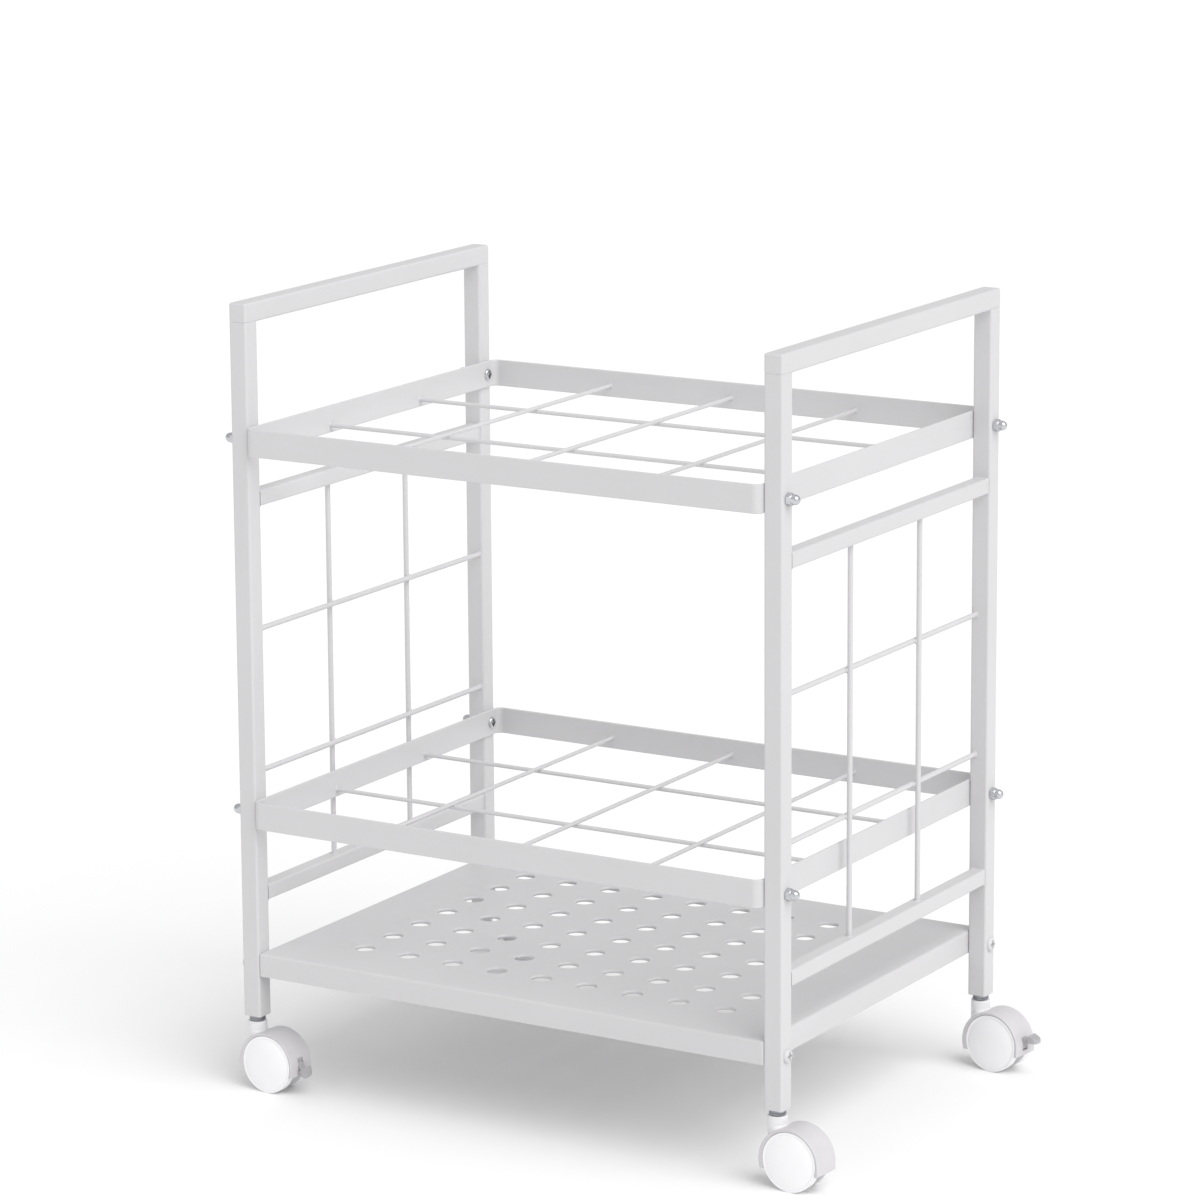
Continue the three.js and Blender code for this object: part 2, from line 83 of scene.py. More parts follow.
# %% Turn grids of points into closed skins
def merged(points, faces):
    """Points nearer than a thousandth of a millimetre become one. A face that loses one corner
    is kept as a triangle, with -1 in its fourth place, and one that loses more is dropped."""
    _, first, place = np.unique(np.round(points, 3), axis=0, return_index=True, return_inverse=True)
    faces = place.reshape(-1)[faces]
    lost = faces == np.roll(faces, -1, axis=1)
    whole = faces[lost.sum(axis=1) == 0]
    thin = lost.sum(axis=1) == 1
    start = lost[thin].argmax(axis=1)[:, None] + 1
    three = np.take_along_axis(faces[thin], (start + np.arange(3)) % 4, axis=1)
    three = np.hstack([three, np.full((len(three), 1), -1)])
    return points[first], np.vstack([whole, three])


def grid_faces(points, rows_meet=False):
    """The faces of a grid of rows by columns by 3, whose columns go round. Face (i, j) has the
    corners (i, j), (i, j+1), (i+1, j+1), (i+1, j), which face outwards when a row runs
    anticlockwise seen from the end that the rows go to."""
    count, sides = points.shape[:2]
    index = np.arange(count * sides).reshape(count, sides)
    index = np.hstack([index, index[:, :1]])
    if rows_meet:
        index = np.vstack([index, index[:1]])
    faces = np.stack([index[:-1, :-1], index[:-1, 1:], index[1:, 1:], index[1:, :-1]], axis=-1)
    return faces.reshape(-1, 4)


def skin(points, rows_meet=False):
    """A grid as a skin, with its poles and seams merged."""
    return merged(points.reshape(-1, 3), grid_faces(points, rows_meet))


def capped(points):
    """A skin whose first and last row are closed to their middles."""
    first = np.broadcast_to(points[:1].mean(axis=1, keepdims=True), points[:1].shape)
    last = np.broadcast_to(points[-1:].mean(axis=1, keepdims=True), points[-1:].shape)
    return skin(np.concatenate([first, points, last]))


def together(patches):
    """Several skins as one: their points in a row, and their faces counted on."""
    starts = np.cumsum([0] + [len(points) for points, _ in patches[:-1]])
    faces = [np.where(faces < 0, -1, faces + start) for (_, faces), start in zip(patches, starts)]
    return np.vstack([points for points, _ in patches]), np.vstack(faces)


def moved(patch, to, axes=np.eye(3)):
    """A skin made about the origin, carried to a place: each point is to, plus its three numbers
    times the three axes."""
    points, faces = patch
    return points @ np.asarray(axes, float) + np.asarray(to, float), faces


# %% [markdown]
# Outlines.
#
# Almost every section on the cart is a rectangle with round corners: tube, strip, lever. A circle
# is the other one. Both are given here once, and a profile can be carried along a line or spun
# round an axis.

# %% Outlines, straight runs and spun profiles
X, Y, Z = np.eye(3)
ALONG = {"x": (Y, Z, X), "y": (Z, X, Y), "z": (X, Y, Z)}


def rounded(half_x, half_y, radius, steps=5):
    """A rectangle with round corners, anticlockwise. Each corner is a quarter circle whose middle
    lies one radius in from both sides. The sizes may be columns, and then one row is made for each."""
    half_x, half_y, radius = (np.reshape(value, (-1, 1)) for value in (half_x, half_y, radius))
    quarter = np.repeat(np.arange(4) * np.pi / 2, steps + 1)
    angle = quarter + np.tile(np.linspace(0, np.pi / 2, steps + 1), 4)
    x = np.sign(np.cos(quarter + np.pi / 4)) * (half_x - radius) + radius * np.cos(angle)
    y = np.sign(np.sin(quarter + np.pi / 4)) * (half_y - radius) + radius * np.sin(angle)
    return np.stack([x, y], axis=-1)


def square_tube(half, radius, low, high, edge):
    """A closed run of square tube along Z, from low to high, whose end edges turn over in quarter
    circles: the inset is edge times (1 - sin t) where the height has moved by edge times (1 - cos t)."""
    t = np.linspace(0, np.pi / 2, 5)
    inset, rise = edge * (1 - np.sin(t)), edge * (1 - np.cos(t))
    inset = np.concatenate([inset, inset[::-1]])
    height = np.concatenate([low + rise, high - rise[::-1]])
    ring = rounded(half - inset, half - inset, np.maximum(radius - inset, 0.1))
    return capped(np.dstack([ring, np.broadcast_to(height[:, None], ring.shape[:2])]))


def around(radius, height, sides):
    """Rows of points about Z: x is radius times cos, y radius times sin."""
    angle = np.arange(sides) * 2 * np.pi / sides
    return np.stack([radius * np.cos(angle), radius * np.sin(angle), height + 0 * angle], axis=-1)


def spun(profile, sides):
    """A profile of (radius, height) pairs turned about Z. It runs upwards on the outside, and it
    is closed where the radius is nothing."""
    radius, height = np.array(profile, float).T[:, :, None]
    return skin(around(radius, height, sides))


def bead(centre, half_x, half_y, half_z):
    """A flattened ball of weld metal: a sphere whose three half widths differ."""
    t = np.linspace(-np.pi / 2, np.pi / 2, 11)[:, None]
    return moved(skin(around(np.cos(t), np.sin(t), 20) * [half_x, half_y, half_z]), centre)


def wire(radius, low, high, along, through):
    """A straight round wire from low to high along one axis, through a point."""
    ends = [(0, low), (radius, low), (radius, high), (0, high)]
    at = np.where(np.array(ALONG[along][2]) > 0, 0, through)
    return moved(spun(ends, 24), at, ALONG[along])


# %% [markdown]
# From skins to pieces.
#
# A piece is one mesh at the origin with its place in its points, as the solids have it. Smooth
# shading alone would make the flats of a tube look puffed up, so a Weighted Normal modifier lets
# the large faces decide which way the light sees an edge, and edges sharper than 40 degrees stay
# sharp.

# %% Put a skin into Blender
made = {}


def piece(name, patches, material, body, nodes, wall=0):
    """Makes one object of some skins, dresses it, lets it ride on its body and lets it stand for
    its solids. A wall gives an open skin that thickness, inwards."""
    points, faces = together(patches)
    corners = faces[faces >= 0]
    sides = (faces >= 0).sum(axis=1)
    mesh = bpy.data.meshes.new(name)
    mesh.vertices.add(len(points))
    mesh.vertices.foreach_set("co", (points / METRE).astype(np.float32).ravel())
    mesh.loops.add(len(corners))
    mesh.loops.foreach_set("vertex_index", corners.astype(np.int32))
    mesh.polygons.add(len(faces))
    mesh.polygons.foreach_set("loop_start", (np.cumsum(sides) - sides).astype(np.int32))
    mesh.polygons.foreach_set("use_smooth", np.ones(len(faces), bool))
    mesh.update(calc_edges=True)
    mesh.validate()
    mesh.set_sharp_from_angle(angle=math.radians(40))
    mesh.materials.append(material)
    shown = bpy.data.objects.new(name, mesh)
    bpy.context.scene.collection.objects.link(shown)
    if wall:
        thick = shown.modifiers.new("sheet thickness", "SOLIDIFY")
        thick.thickness = wall / METRE
        thick.offset = -1
        thick.use_even_offset = True
    even = shown.modifiers.new("flats stay flat", "WEIGHTED_NORMAL")
    even.keep_sharp = True
    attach(shown, body)
    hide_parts(*nodes)
    made[name] = len(faces)


# %% [markdown]
# Colours and nodes.
#
# Colours are picked from a screen, so they are written as hex numbers and turned to the linear
# values that light works with. One function adds a node, sets it and links it, whatever kind it is.

# %% Colour and node helpers
def linear(hex_colour):
    """An sRGB hex colour as linear red, green, blue and a full alpha: below 0.04045 a value is
    divided by 12.92, above it (value + 0.055) / 1.055 is raised to 2.4."""
    value = np.array([int(hex_colour[i:i + 2], 16) for i in (1, 3, 5)]) / 255
    value = np.where(value <= 0.04045, value / 12.92, ((value + 0.055) / 1.055) ** 2.4)
    return (*value.tolist(), 1.0)


def add_node(tree, kind, settings={}, sockets={}, links={}):
    """One node in a tree: settings are the node's own, sockets its fixed inputs, and links name
    the node and output that feed an input."""
    node = tree.nodes.new(kind)
    for name, value in settings.items():
        setattr(node, name, value)
    for name, value in sockets.items():
        node.inputs[name].default_value = value
    for name, (other, output) in links.items():
        tree.links.new(other.outputs[output], node.inputs[name])
    return node


def new_finish(name):
    """An empty material with its node tree and the texture coordinates that its patterns read."""
    material = bpy.data.materials.new(name)
    material.use_nodes = True
    material.node_tree.nodes.clear()
    tree = material.node_tree
    return material, tree, add_node(tree, "ShaderNodeTexCoord")


def per_metre(size):
    """How often a pattern of this size in millimetres repeats in one metre."""
    return METRE / size


# %% [markdown]
# Powder coated steel.
#
# The whole frame is sprayed with dry powder and baked, which leaves a thick even skin of light
# grey white. It levels less well than wet paint, so it has a faint orange peel of bumps two to
# three millimetres apart: that breaks up the reflections and makes them soft. A larger, very weak
# mottle keeps long tubes from looking like computer drawings.

# %% Powder coat
PEEL_SIZE = 2.4
PEEL_DEPTH = 0.02
PEEL_STRENGTH = 0.7
MOTTLE_SIZE = 70

powder_coat, tree, place = new_finish("powder_coated_steel_baked")
peel = add_node(tree, "ShaderNodeTexNoise", {},
                {"Scale": per_metre(PEEL_SIZE), "Detail": 1.5, "Roughness": 0.4},
                {"Vector": (place, "Object")})
bumps = add_node(tree, "ShaderNodeBump", {},
                 {"Strength": PEEL_STRENGTH, "Distance": PEEL_DEPTH / METRE}, {"Height": (peel, 0)})
mottle = add_node(tree, "ShaderNodeTexNoise", {}, {"Scale": per_metre(MOTTLE_SIZE), "Detail": 3.0},
                  {"Vector": (place, "Object")})
tone = add_node(tree, "ShaderNodeMix", {"data_type": "RGBA"},
                {6: linear("#cccbcc"), 7: linear("#d2d1d2")}, {0: (mottle, 0)})
gloss = add_node(tree, "ShaderNodeMapRange", {}, {"To Min": 0.33, "To Max": 0.43}, {"Value": (mottle, 0)})
coat = add_node(tree, "ShaderNodeBsdfPrincipled", {}, {"IOR": 1.5, "Specular IOR Level": 0.5},
                {"Base Color": (tone, 2), "Roughness": (gloss, 0), "Normal": (bumps, 0)})
add_node(tree, "ShaderNodeOutputMaterial", {}, {}, {"Surface": (coat, 0)})
print("powder coat:", len(tree.nodes), "nodes")


def coated(name, patches, node, wall=0):
    """A powder coated piece of the frame, in the place of one solid."""
    piece(name, patches, powder_coat, "frame", [node], wall)



# %% [markdown]
# Zinc plate, bright, and a darker copy as painted shade.
#
# Bolts and cap nuts are small cold formed steel parts, tumbled in a barrel while zinc is plated on.
# That gives a bright, slightly blue metal with fine scuffs from the neighbours in the barrel: sharp
# highlights that are a little frayed, and dull patches. The turned pins of the casters are plated
# too; they get a much darker copy of the same finish, painted shade for the shadow between the
# leg's end and the neck. One function makes every finish that has a fine grain, and the plastics
# below use it as well.

# %% Zinc plate
GRAIN_DEPTH = 0.01
GRAIN_STRENGTH = 0.5
SCUFF_SIZE = 0.9
DULL_SIZE = 3.5
ZINC_GLOSS = (0.14, 0.36)


def grained_finish(name, darker, lighter, grain, drift, gloss, sockets):
    """A finish with a fine grain in its gloss and its bumps, whose colour drifts slowly. The grain
    is a size in millimetres, a detail and a roughness, the drift is a size, and the gloss runs from
    the first roughness to the second."""
    material, tree, place = new_finish(name)
    size, detail, roughness = grain
    fine = add_node(tree, "ShaderNodeTexNoise", {},
                    {"Scale": per_metre(size), "Detail": detail, "Roughness": roughness},
                    {"Vector": (place, "Object")})
    slow = add_node(tree, "ShaderNodeTexNoise", {}, {"Scale": per_metre(drift), "Detail": 2.0},
                    {"Vector": (place, "Object")})
    tone = add_node(tree, "ShaderNodeMix", {"data_type": "RGBA"},
                    {6: linear(darker), 7: linear(lighter)}, {0: (slow, 0)})
    rough = add_node(tree, "ShaderNodeMapRange", {}, {"To Min": gloss[0], "To Max": gloss[1]},
                     {"Value": (fine, 0)})
    bumps = add_node(tree, "ShaderNodeBump", {},
                     {"Strength": GRAIN_STRENGTH, "Distance": GRAIN_DEPTH / METRE}, {"Height": (fine, 0)})
    shader = add_node(tree, "ShaderNodeBsdfPrincipled", {}, sockets,
                      {"Base Color": (tone, 2), "Roughness": (rough, 0), "Normal": (bumps, 0)})
    add_node(tree, "ShaderNodeOutputMaterial", {}, {}, {"Surface": (shader, 0)})
    return material


# The second finish is the same zinc made darker: painted shade for the collars, which sit in the shadow
# between the leg's end and the neck.
zinc_plate, zinc_painted_shade = (
    grained_finish(name, darker, lighter, (SCUFF_SIZE, 4.0, 0.6), DULL_SIZE, ZINC_GLOSS, {"Metallic": 1.0})
    for name, darker, lighter in (("barrel_zinc_plated_steel", "#b9bbbf", "#d8d9dc"),
                                  ("zinc_plated_steel_painted_shade", "#86898e", "#a6a8ac")))
print("zinc plate:", len(zinc_plate.node_tree.nodes), "nodes each")

# %% [markdown]
# Moulded nylon in four shades.
#
# Caster wheels and housings are injection moulded. The steel mould is spark eroded, so the plastic
# has a very fine matt grain. The wheel caps are a cleaner white than the frame. Neck and hood are
# one plastic, given two copies: the neck's lighter one is painted light, and the hood's greyer one is
# painted shade, the shade that falls on it under the shelf. The foot levers are the greyest. Grain
# this fine would vanish at arm's length, so it is drawn a little coarser than it is.

# %% Moulded plastic
GRAIN_SIZE = 0.7
FLOW_SIZE = 18
NYLON_GLOSS = (0.30, 0.42)

# Neck and hood are one plastic: the neck's lighter copy is painted light and the hood's greyer copy is
# painted shade.
white_nylon, neck_nylon_painted_light, hood_nylon_painted_shade, lever_nylon = (
    grained_finish(name, darker, lighter, (GRAIN_SIZE, 2.0, 0.5), FLOW_SIZE, NYLON_GLOSS, {"IOR": 1.53})
    for name, darker, lighter in (("moulded_white_nylon", "#f2f1f2", "#f8f7f8"),
                                  ("moulded_neck_nylon_painted_light", "#e4e3e5", "#e9e8ea"),
                                  ("moulded_hood_nylon_painted_shade", "#c9c7c9", "#d1cfd1"),
                                  ("moulded_lever_nylon", "#abaaab", "#b3b1b3")))
print("moulded nylon:", len(white_nylon.node_tree.nodes), "nodes each")

# %% [markdown]
# Legs and top bars.
#
# Each end frame is an upside down U: two legs of 15 mm square tube with a third length welded
# across their tops. The outside of drawn tube is rounded at its long edges, and it is those narrow
# rounded edges that catch the light, so they are modelled and not faked. The weld at the top is
# ground flush at the sides, and the front keeps a fine groove under the closed end of the bar,
# because the leg goes only a little way up into the rounding there.

# %% Square tube legs
TUBE_HALF = 7.5
TUBE_ROUND = 1.8
CUT_EDGE = 0.5
INTO_BAR = 0.7

SIDES = ("left", "right")
ENDS = ("front", "rear")
CORNERS = [f"{end}_{side}" for end in ENDS for side in SIDES]

for corner in CORNERS:
    low, high, middle = box_of(f"leg_{corner}")
    leg = square_tube(TUBE_HALF, TUBE_ROUND, low[2], high[2] + INTO_BAR, CUT_EDGE)
    coated(f"tube_leg_{corner}", [moved(leg, (middle[0], middle[1], 0))], f"leg_{corner}")
print("legs:", box_of("leg_front_left")[1][2] - box_of("leg_front_left")[0][2], "mm long")

# %% Top bars with closed ends
BAR_END_ROUND = 1.6

for side in SIDES:
    low, high, middle = box_of(f"top_bar_{side}")
    bar = square_tube(TUBE_HALF, TUBE_ROUND, low[1], high[1], BAR_END_ROUND)
    coated(f"tube_top_{side}", [moved(bar, (middle[0], 0, middle[2]), ALONG["y"])], f"top_bar_{side}")
print("top bars:", high[1] - low[1], "mm long")

# %% [markdown]
# Middle and low bars with their welds.
#
# Lighter 12 mm tube joins the legs of each end frame. A weld there is a small concave fillet all
# round the end of the bar, with the faint ripples of a bead laid by hand, softened by the coat.

# %% Bars between the legs
BAR_HALF = 6
BAR_ROUND = 1.5
WELD_LEG = 1.3
WELD_SUNK = 0.05
RIPPLE = 1.7


def weld_round():
    """A concave fillet round a bar that stands on a face at z = 0. At angle t its distance from the
    bar is its leg times (1 - cos t) and its height is its leg times (1 - sin t). The height swells
    and shrinks by a tenth with a wave along the bead, and both start a little inside the steel."""
    t = np.linspace(0, np.pi / 2, 6)[:, None]
    ring = rounded(BAR_HALF, BAR_HALF, BAR_ROUND, 8)[0]
    steps = np.linalg.norm(np.diff(ring, axis=0, append=ring[:1]), axis=1)
    wave = 1 + 0.1 * np.sin(np.cumsum(steps) * 2 * np.pi / RIPPLE)
    away = (WELD_LEG * (1 - np.cos(t)) * wave - WELD_SUNK).mean(axis=1)
    grown = rounded(BAR_HALF + away, BAR_HALF + away, BAR_ROUND + away, 8)
    rows = np.dstack([grown, WELD_LEG * (1 - np.sin(t)) * wave - WELD_SUNK])
    return skin(rows[::-1])


for side in SIDES:
    for level in ("middle", "low"):
        low, high, middle = box_of(f"{level}_bar_{side}")
        run = square_tube(BAR_HALF, BAR_ROUND, low[1], high[1], 0.1)
        parts = [moved(run, (middle[0], 0, middle[2]), ALONG["y"])]
        parts += [moved(weld_round(), (middle[0], end, middle[2]), lies)
                  for end, lies in ((low[1], (Z, X, Y)), (high[1], (X, Z, -Y)))]
        coated(f"tube_{level}_{side}", parts, f"{level}_bar_{side}")
print("middle and low bars:", high[1] - low[1], "mm between the legs")

# %% [markdown]
# Side grilles.
#
# Two upright wires stand between the bars and two level wires run from leg to leg behind them.
# Where the wires cross they are resistance welded: pressed together hot until they sink into each
# other a little, which leaves a small flat swelling. A flattened ball at each crossing and at each
# wire's end does that. Its two sizes are the half width and the half height of the swelling.

# %% Side grilles of 4 mm wire
GRILLE_WIRE = 2
UPRIGHT_GAP = 107
LEVEL_SHARES = np.array([0.307, 0.68])
WIRE_SUNK = 0.2
END_WIDE, END_HIGH = 2.9, 0.9
CROSS_WIDE, CROSS_HIGH = 2.7, 1.5

for side, outward in zip(SIDES, (-1, 1)):
    low, high, middle = box_of(f"side_grille_{side}")
    bar_low = box_of(f"low_bar_{side}")[1][2]
    bar_high = box_of(f"middle_bar_{side}")[0][2]
    upright_x = box_of(f"low_bar_{side}")[2][0]
    level_x = low[0] + GRILLE_WIRE if outward > 0 else high[0] - GRILLE_WIRE
    between = (upright_x + level_x) / 2
    heights = bar_low + (bar_high - bar_low) * LEVEL_SHARES
    parts = []
    for y in (middle[1] - UPRIGHT_GAP / 2, middle[1] + UPRIGHT_GAP / 2):
        parts.append(wire(GRILLE_WIRE, bar_low - WIRE_SUNK, bar_high + WIRE_SUNK, "z", (upright_x, y, 0)))
        parts += [bead((upright_x, y, z), END_WIDE, END_WIDE, END_HIGH) for z in (bar_low, bar_high)]
        parts += [bead((between, y, z), CROSS_HIGH, CROSS_WIDE, CROSS_WIDE) for z in heights]
    for z in heights:
        parts.append(wire(GRILLE_WIRE, low[1] - WIRE_SUNK, high[1] + WIRE_SUNK, "y", (level_x, 0, z)))
        parts += [bead((level_x, y, z), END_WIDE, END_HIGH, END_WIDE) for y in (low[1], high[1])]
    coated(f"grille_wires_{side}", parts, f"side_grille_{side}")
print("grille level wires at", heights.round(1))

# %% [markdown]
# Bands.
#
# A strip of steel 21 mm high and 2 mm thick is bent into a rounded rectangle and bolted inside the
# legs. Rolled strip has soft edges. The section is a small rounded rectangle, and each of its
# points is carried round the same path, only a little further in or out.

# %% Bands bent from strip
STRIP_HALF_THICK = 1
STRIP_EDGE = 0.85
BEND_RADIUS = 7


def bent_strip(half_x, half_y, half_height):
    """A strip section carried round a rounded rectangle: a point of the section that lies e inside
    the outer face follows the outline with both half sizes and the bend radius less e."""
    section = rounded(STRIP_HALF_THICK, half_height, STRIP_EDGE)[0]
    inside = STRIP_HALF_THICK - section[:, 0]
    ring = rounded(half_x - inside, half_y - inside, BEND_RADIUS - inside, 12)
    rows = np.dstack([ring, np.broadcast_to(section[:, 1][:, None], ring.shape[:2])])
    return skin(rows, rows_meet=True)


for level in ("upper", "lower"):
    low, high, middle = box_of(f"{level}_band")
    half = (high - low) / 2
    coated(f"strip_band_{level}", [moved(bent_strip(*half), middle)], f"{level}_band")
print("bands:", (half * 2).round(1), "mm")

# %% [markdown]
# Divider wires.
#
# Three wires run front to back and lie on two that run side to side, so that twelve cells keep long
# things upright. They are the same kind of weld as in the grilles, with a swelling at each end
# where a wire meets the band.

# %% Divider wires of 3.2 mm wire
DIVIDER_WIRE = 1.6
DIVIDER_X, DIVIDER_Y = np.array([-109, 0, 109]), np.array([-62, 62])
TIP_WIDE, TIP_HIGH = 2.4, 0.8
KNOT_WIDE, KNOT_HIGH = 2.2, 1.0

for level in ("upper", "lower"):
    low, high, middle = box_of(f"{level}_divider_wires")
    columns, rows = middle[0] + DIVIDER_X, middle[1] + DIVIDER_Y
    top, under = high[2] - DIVIDER_WIRE, low[2] + DIVIDER_WIRE
    start, stop = low - WIRE_SUNK, high + WIRE_SUNK
    parts = [wire(DIVIDER_WIRE, start[1], stop[1], "y", (x, 0, top)) for x in columns]
    parts += [wire(DIVIDER_WIRE, start[0], stop[0], "x", (0, y, under)) for y in rows]
    parts += [bead((x, y, middle[2]), KNOT_WIDE, KNOT_WIDE, KNOT_HIGH) for x in columns for y in rows]
    parts += [bead((x, y, top), TIP_WIDE, TIP_HIGH, TIP_WIDE) for x in columns for y in (low[1], high[1])]
    parts += [bead((x, y, under), TIP_HIGH, TIP_WIDE, TIP_WIDE) for x in (low[0], high[0]) for y in rows]
    coated(f"divider_grid_{level}", parts, f"{level}_divider_wires")
print("divider wires at x", columns.round(1), "and y", rows.round(1))

# %% [markdown]
# The punched shelf.
#
# The shelf is a shallow pan pressed from sheet: a field of 9 by 7 round holes with their lips
# turned down, and edges folded down all round. A boolean would leave ragged shading round 63 holes.
# Here each hole has its own tile, a ring of points that turns from a circle into the tile's
# rectangle, and the tiles, the border and the folded edge are merged into one skin. Solidify then
# gives it the thickness of the sheet.

# %% Tiles with turned lips
HOLE_RADIUS = 7.5
LIP_BEND = 1.0
LIP_DEPTH = 2.4
PITCH = np.array([39.2, 38.2])
HOLES = (9, 7)
SPOKES = 32

spoke = np.arange(SPOKES) * 2 * np.pi / SPOKES
circle = np.stack([np.cos(spoke), np.sin(spoke)], axis=-1)
square = circle / np.abs(circle).max(axis=1, keepdims=True)


def hole_tile():
    """One tile about its hole, from its rectangle to the lower end of the lip. The rectangle's
    point for an angle is (cos, sin) divided by the larger of the two, times the half tile. The lip
    turns down in a quarter circle."""
    t = np.linspace(0, np.pi / 2, 5)[:, None, None]
    bend = circle * (HOLE_RADIUS + LIP_BEND * (1 - np.sin(t)))
    bend = np.dstack([bend, np.broadcast_to(-LIP_BEND * (1 - np.cos(t)), bend.shape[:2] + (1,))])
    edge = np.column_stack([square * PITCH / 2, np.zeros(SPOKES)])
    lip = np.column_stack([circle * HOLE_RADIUS, np.full(SPOKES, -LIP_DEPTH)])
    return np.concatenate([edge[None], bend, lip[None]])


tile_x, tile_y = np.meshgrid(*[(np.arange(n) - (n - 1) / 2) * p for n, p in zip(HOLES, PITCH)])
tile_middles = np.stack([tile_x.ravel(), tile_y.ravel(), 0 * tile_x.ravel()], axis=-1)
print("tiles:", len(tile_middles), "with", hole_tile().shape[0], "rings each")

# %% Border, folded edge and the whole pan
FOLD_RADIUS = 1.8
SHEET = 1.2

low, high, middle = box_of("shelf")
half = (high - low)[:2] / 2
flat_half = half - FOLD_RADIUS
field_half = PITCH * HOLES / 2
side_steps = np.tan(np.linspace(-np.pi / 4, np.pi / 4, SPOKES // 4 + 1))


def field_side(count, pitch):
    """The points of the tiles' edges along one side of the field, from its low to its high end."""
    middles = (np.arange(count) - (count - 1) / 2) * pitch
    return np.unique(np.round((middles[:, None] + side_steps * pitch / 2).ravel(), 4))


def field_ring():
    """The outline of the field of tiles, anticlockwise, with each corner given five times: once
    for each direction in which the fold leaves it."""
    along_x = field_side(HOLES[0], PITCH[0]) / field_half[0]
    along_y = field_side(HOLES[1], PITCH[1]) / field_half[1]
    one_y, one_x = np.ones_like(along_y), np.ones_like(along_x)
    runs = [(one_y, along_y), (along_x[::-1], one_x), (-one_y, along_y[::-1]), (along_x, -one_x)]
    points, turns = [], []
    for number, (u, v) in enumerate(runs):
        points.append(np.column_stack([u, v]))
        turns.append(np.full(len(u), number * np.pi / 2))
        points.append(np.tile([u[-1], v[-1]], (3, 1)))
        turns.append(number * np.pi / 2 + np.linspace(0, np.pi / 2, 5)[1:-1])
    return np.vstack(points), np.concatenate(turns)


unit, turn = field_ring()
outward = np.stack([np.cos(turn), np.sin(turn)], axis=-1)
t = np.linspace(0, np.pi / 2, 6)[:, None, None]
fold = unit * flat_half + outward * FOLD_RADIUS * np.sin(t)
fold = np.dstack([fold, np.broadcast_to(-FOLD_RADIUS * (1 - np.cos(t)), fold.shape[:2] + (1,))])
foot = np.column_stack([unit * flat_half + outward * FOLD_RADIUS, np.full(len(unit), low[2] - high[2])])
field = np.column_stack([unit * field_half, np.zeros(len(unit))])
rim_rows = np.concatenate([foot[None], fold[::-1], field[None]])
shelf_top = middle * [1, 1, 0] + [0, 0, high[2]]

tile = hole_tile()
tiles = tile.reshape(1, -1, 3) + tile_middles[:, None]
tile_faces = grid_faces(tile) + (np.arange(len(tiles)) * tiles.shape[1])[:, None, None]
tiles = tiles.reshape(-1, 3)
shelf_points = np.vstack([tiles, rim_rows.reshape(-1, 3)])
shelf_faces = np.vstack([tile_faces.reshape(-1, 4), grid_faces(rim_rows) + len(tiles)])
coated("punched_shelf_pan", [moved(merged(shelf_points, shelf_faces), shelf_top)], "shelf", wall=SHEET)
print("shelf:", len(shelf_faces), "faces before its thickness")

# %% [markdown]
# Bolts, cap nuts and screws.
#
# The bands are held by bolts from the inside, closed outside by cap nuts, so that nobody scrapes a
# hand on a thread. The shelf hangs on four pan head screws with a cross recess, sprayed with the
# frame. A nut is a hexagon whose corners are turned off by a cone at both ends, with a dome on it.

# %% Cap nuts
NUT_HALF = 4.2
NUT_HEX = 4
NUT_BEVEL = 0.6
NUT_DOME = 3.75
DOME_STRAIGHT = 1.7
NUT_LENGTH = 9.8


def cap_nut():
    """About Z, standing on z = 0. The hexagon's radius is the half width divided by the cosine of
    the angle from the nearest flat's middle, never more than a cone of 60 degrees at either end.
    The dome is a short cylinder and half an ellipse."""
    angle = np.arange(72) * 2 * np.pi / 72
    flat = (angle + np.pi / 6) % (np.pi / 3) - np.pi / 6
    cut = np.linspace(0, NUT_BEVEL, 5)
    z = np.concatenate([cut, NUT_HEX - cut[::-1]])
    cone = NUT_HALF * 0.97 + math.sqrt(3) * np.minimum(z, NUT_HEX - z)
    hexagon = np.minimum(NUT_HALF / np.cos(flat), cone[:, None])
    t = np.linspace(0, np.pi / 2, 12)
    dome_low = NUT_HEX + DOME_STRAIGHT
    dome = np.concatenate([[NUT_DOME + 0.15, NUT_DOME], NUT_DOME * np.cos(t)])
    dome_z = np.concatenate([[NUT_HEX, NUT_HEX + 0.15], dome_low + (NUT_LENGTH - dome_low) * np.sin(t)])
    radius = np.vstack([0 * hexagon[:1], hexagon, np.broadcast_to(dome[:, None], (len(dome), len(angle)))])
    return skin(around(radius, np.concatenate([[0], z, dome_z])[:, None], len(angle)))


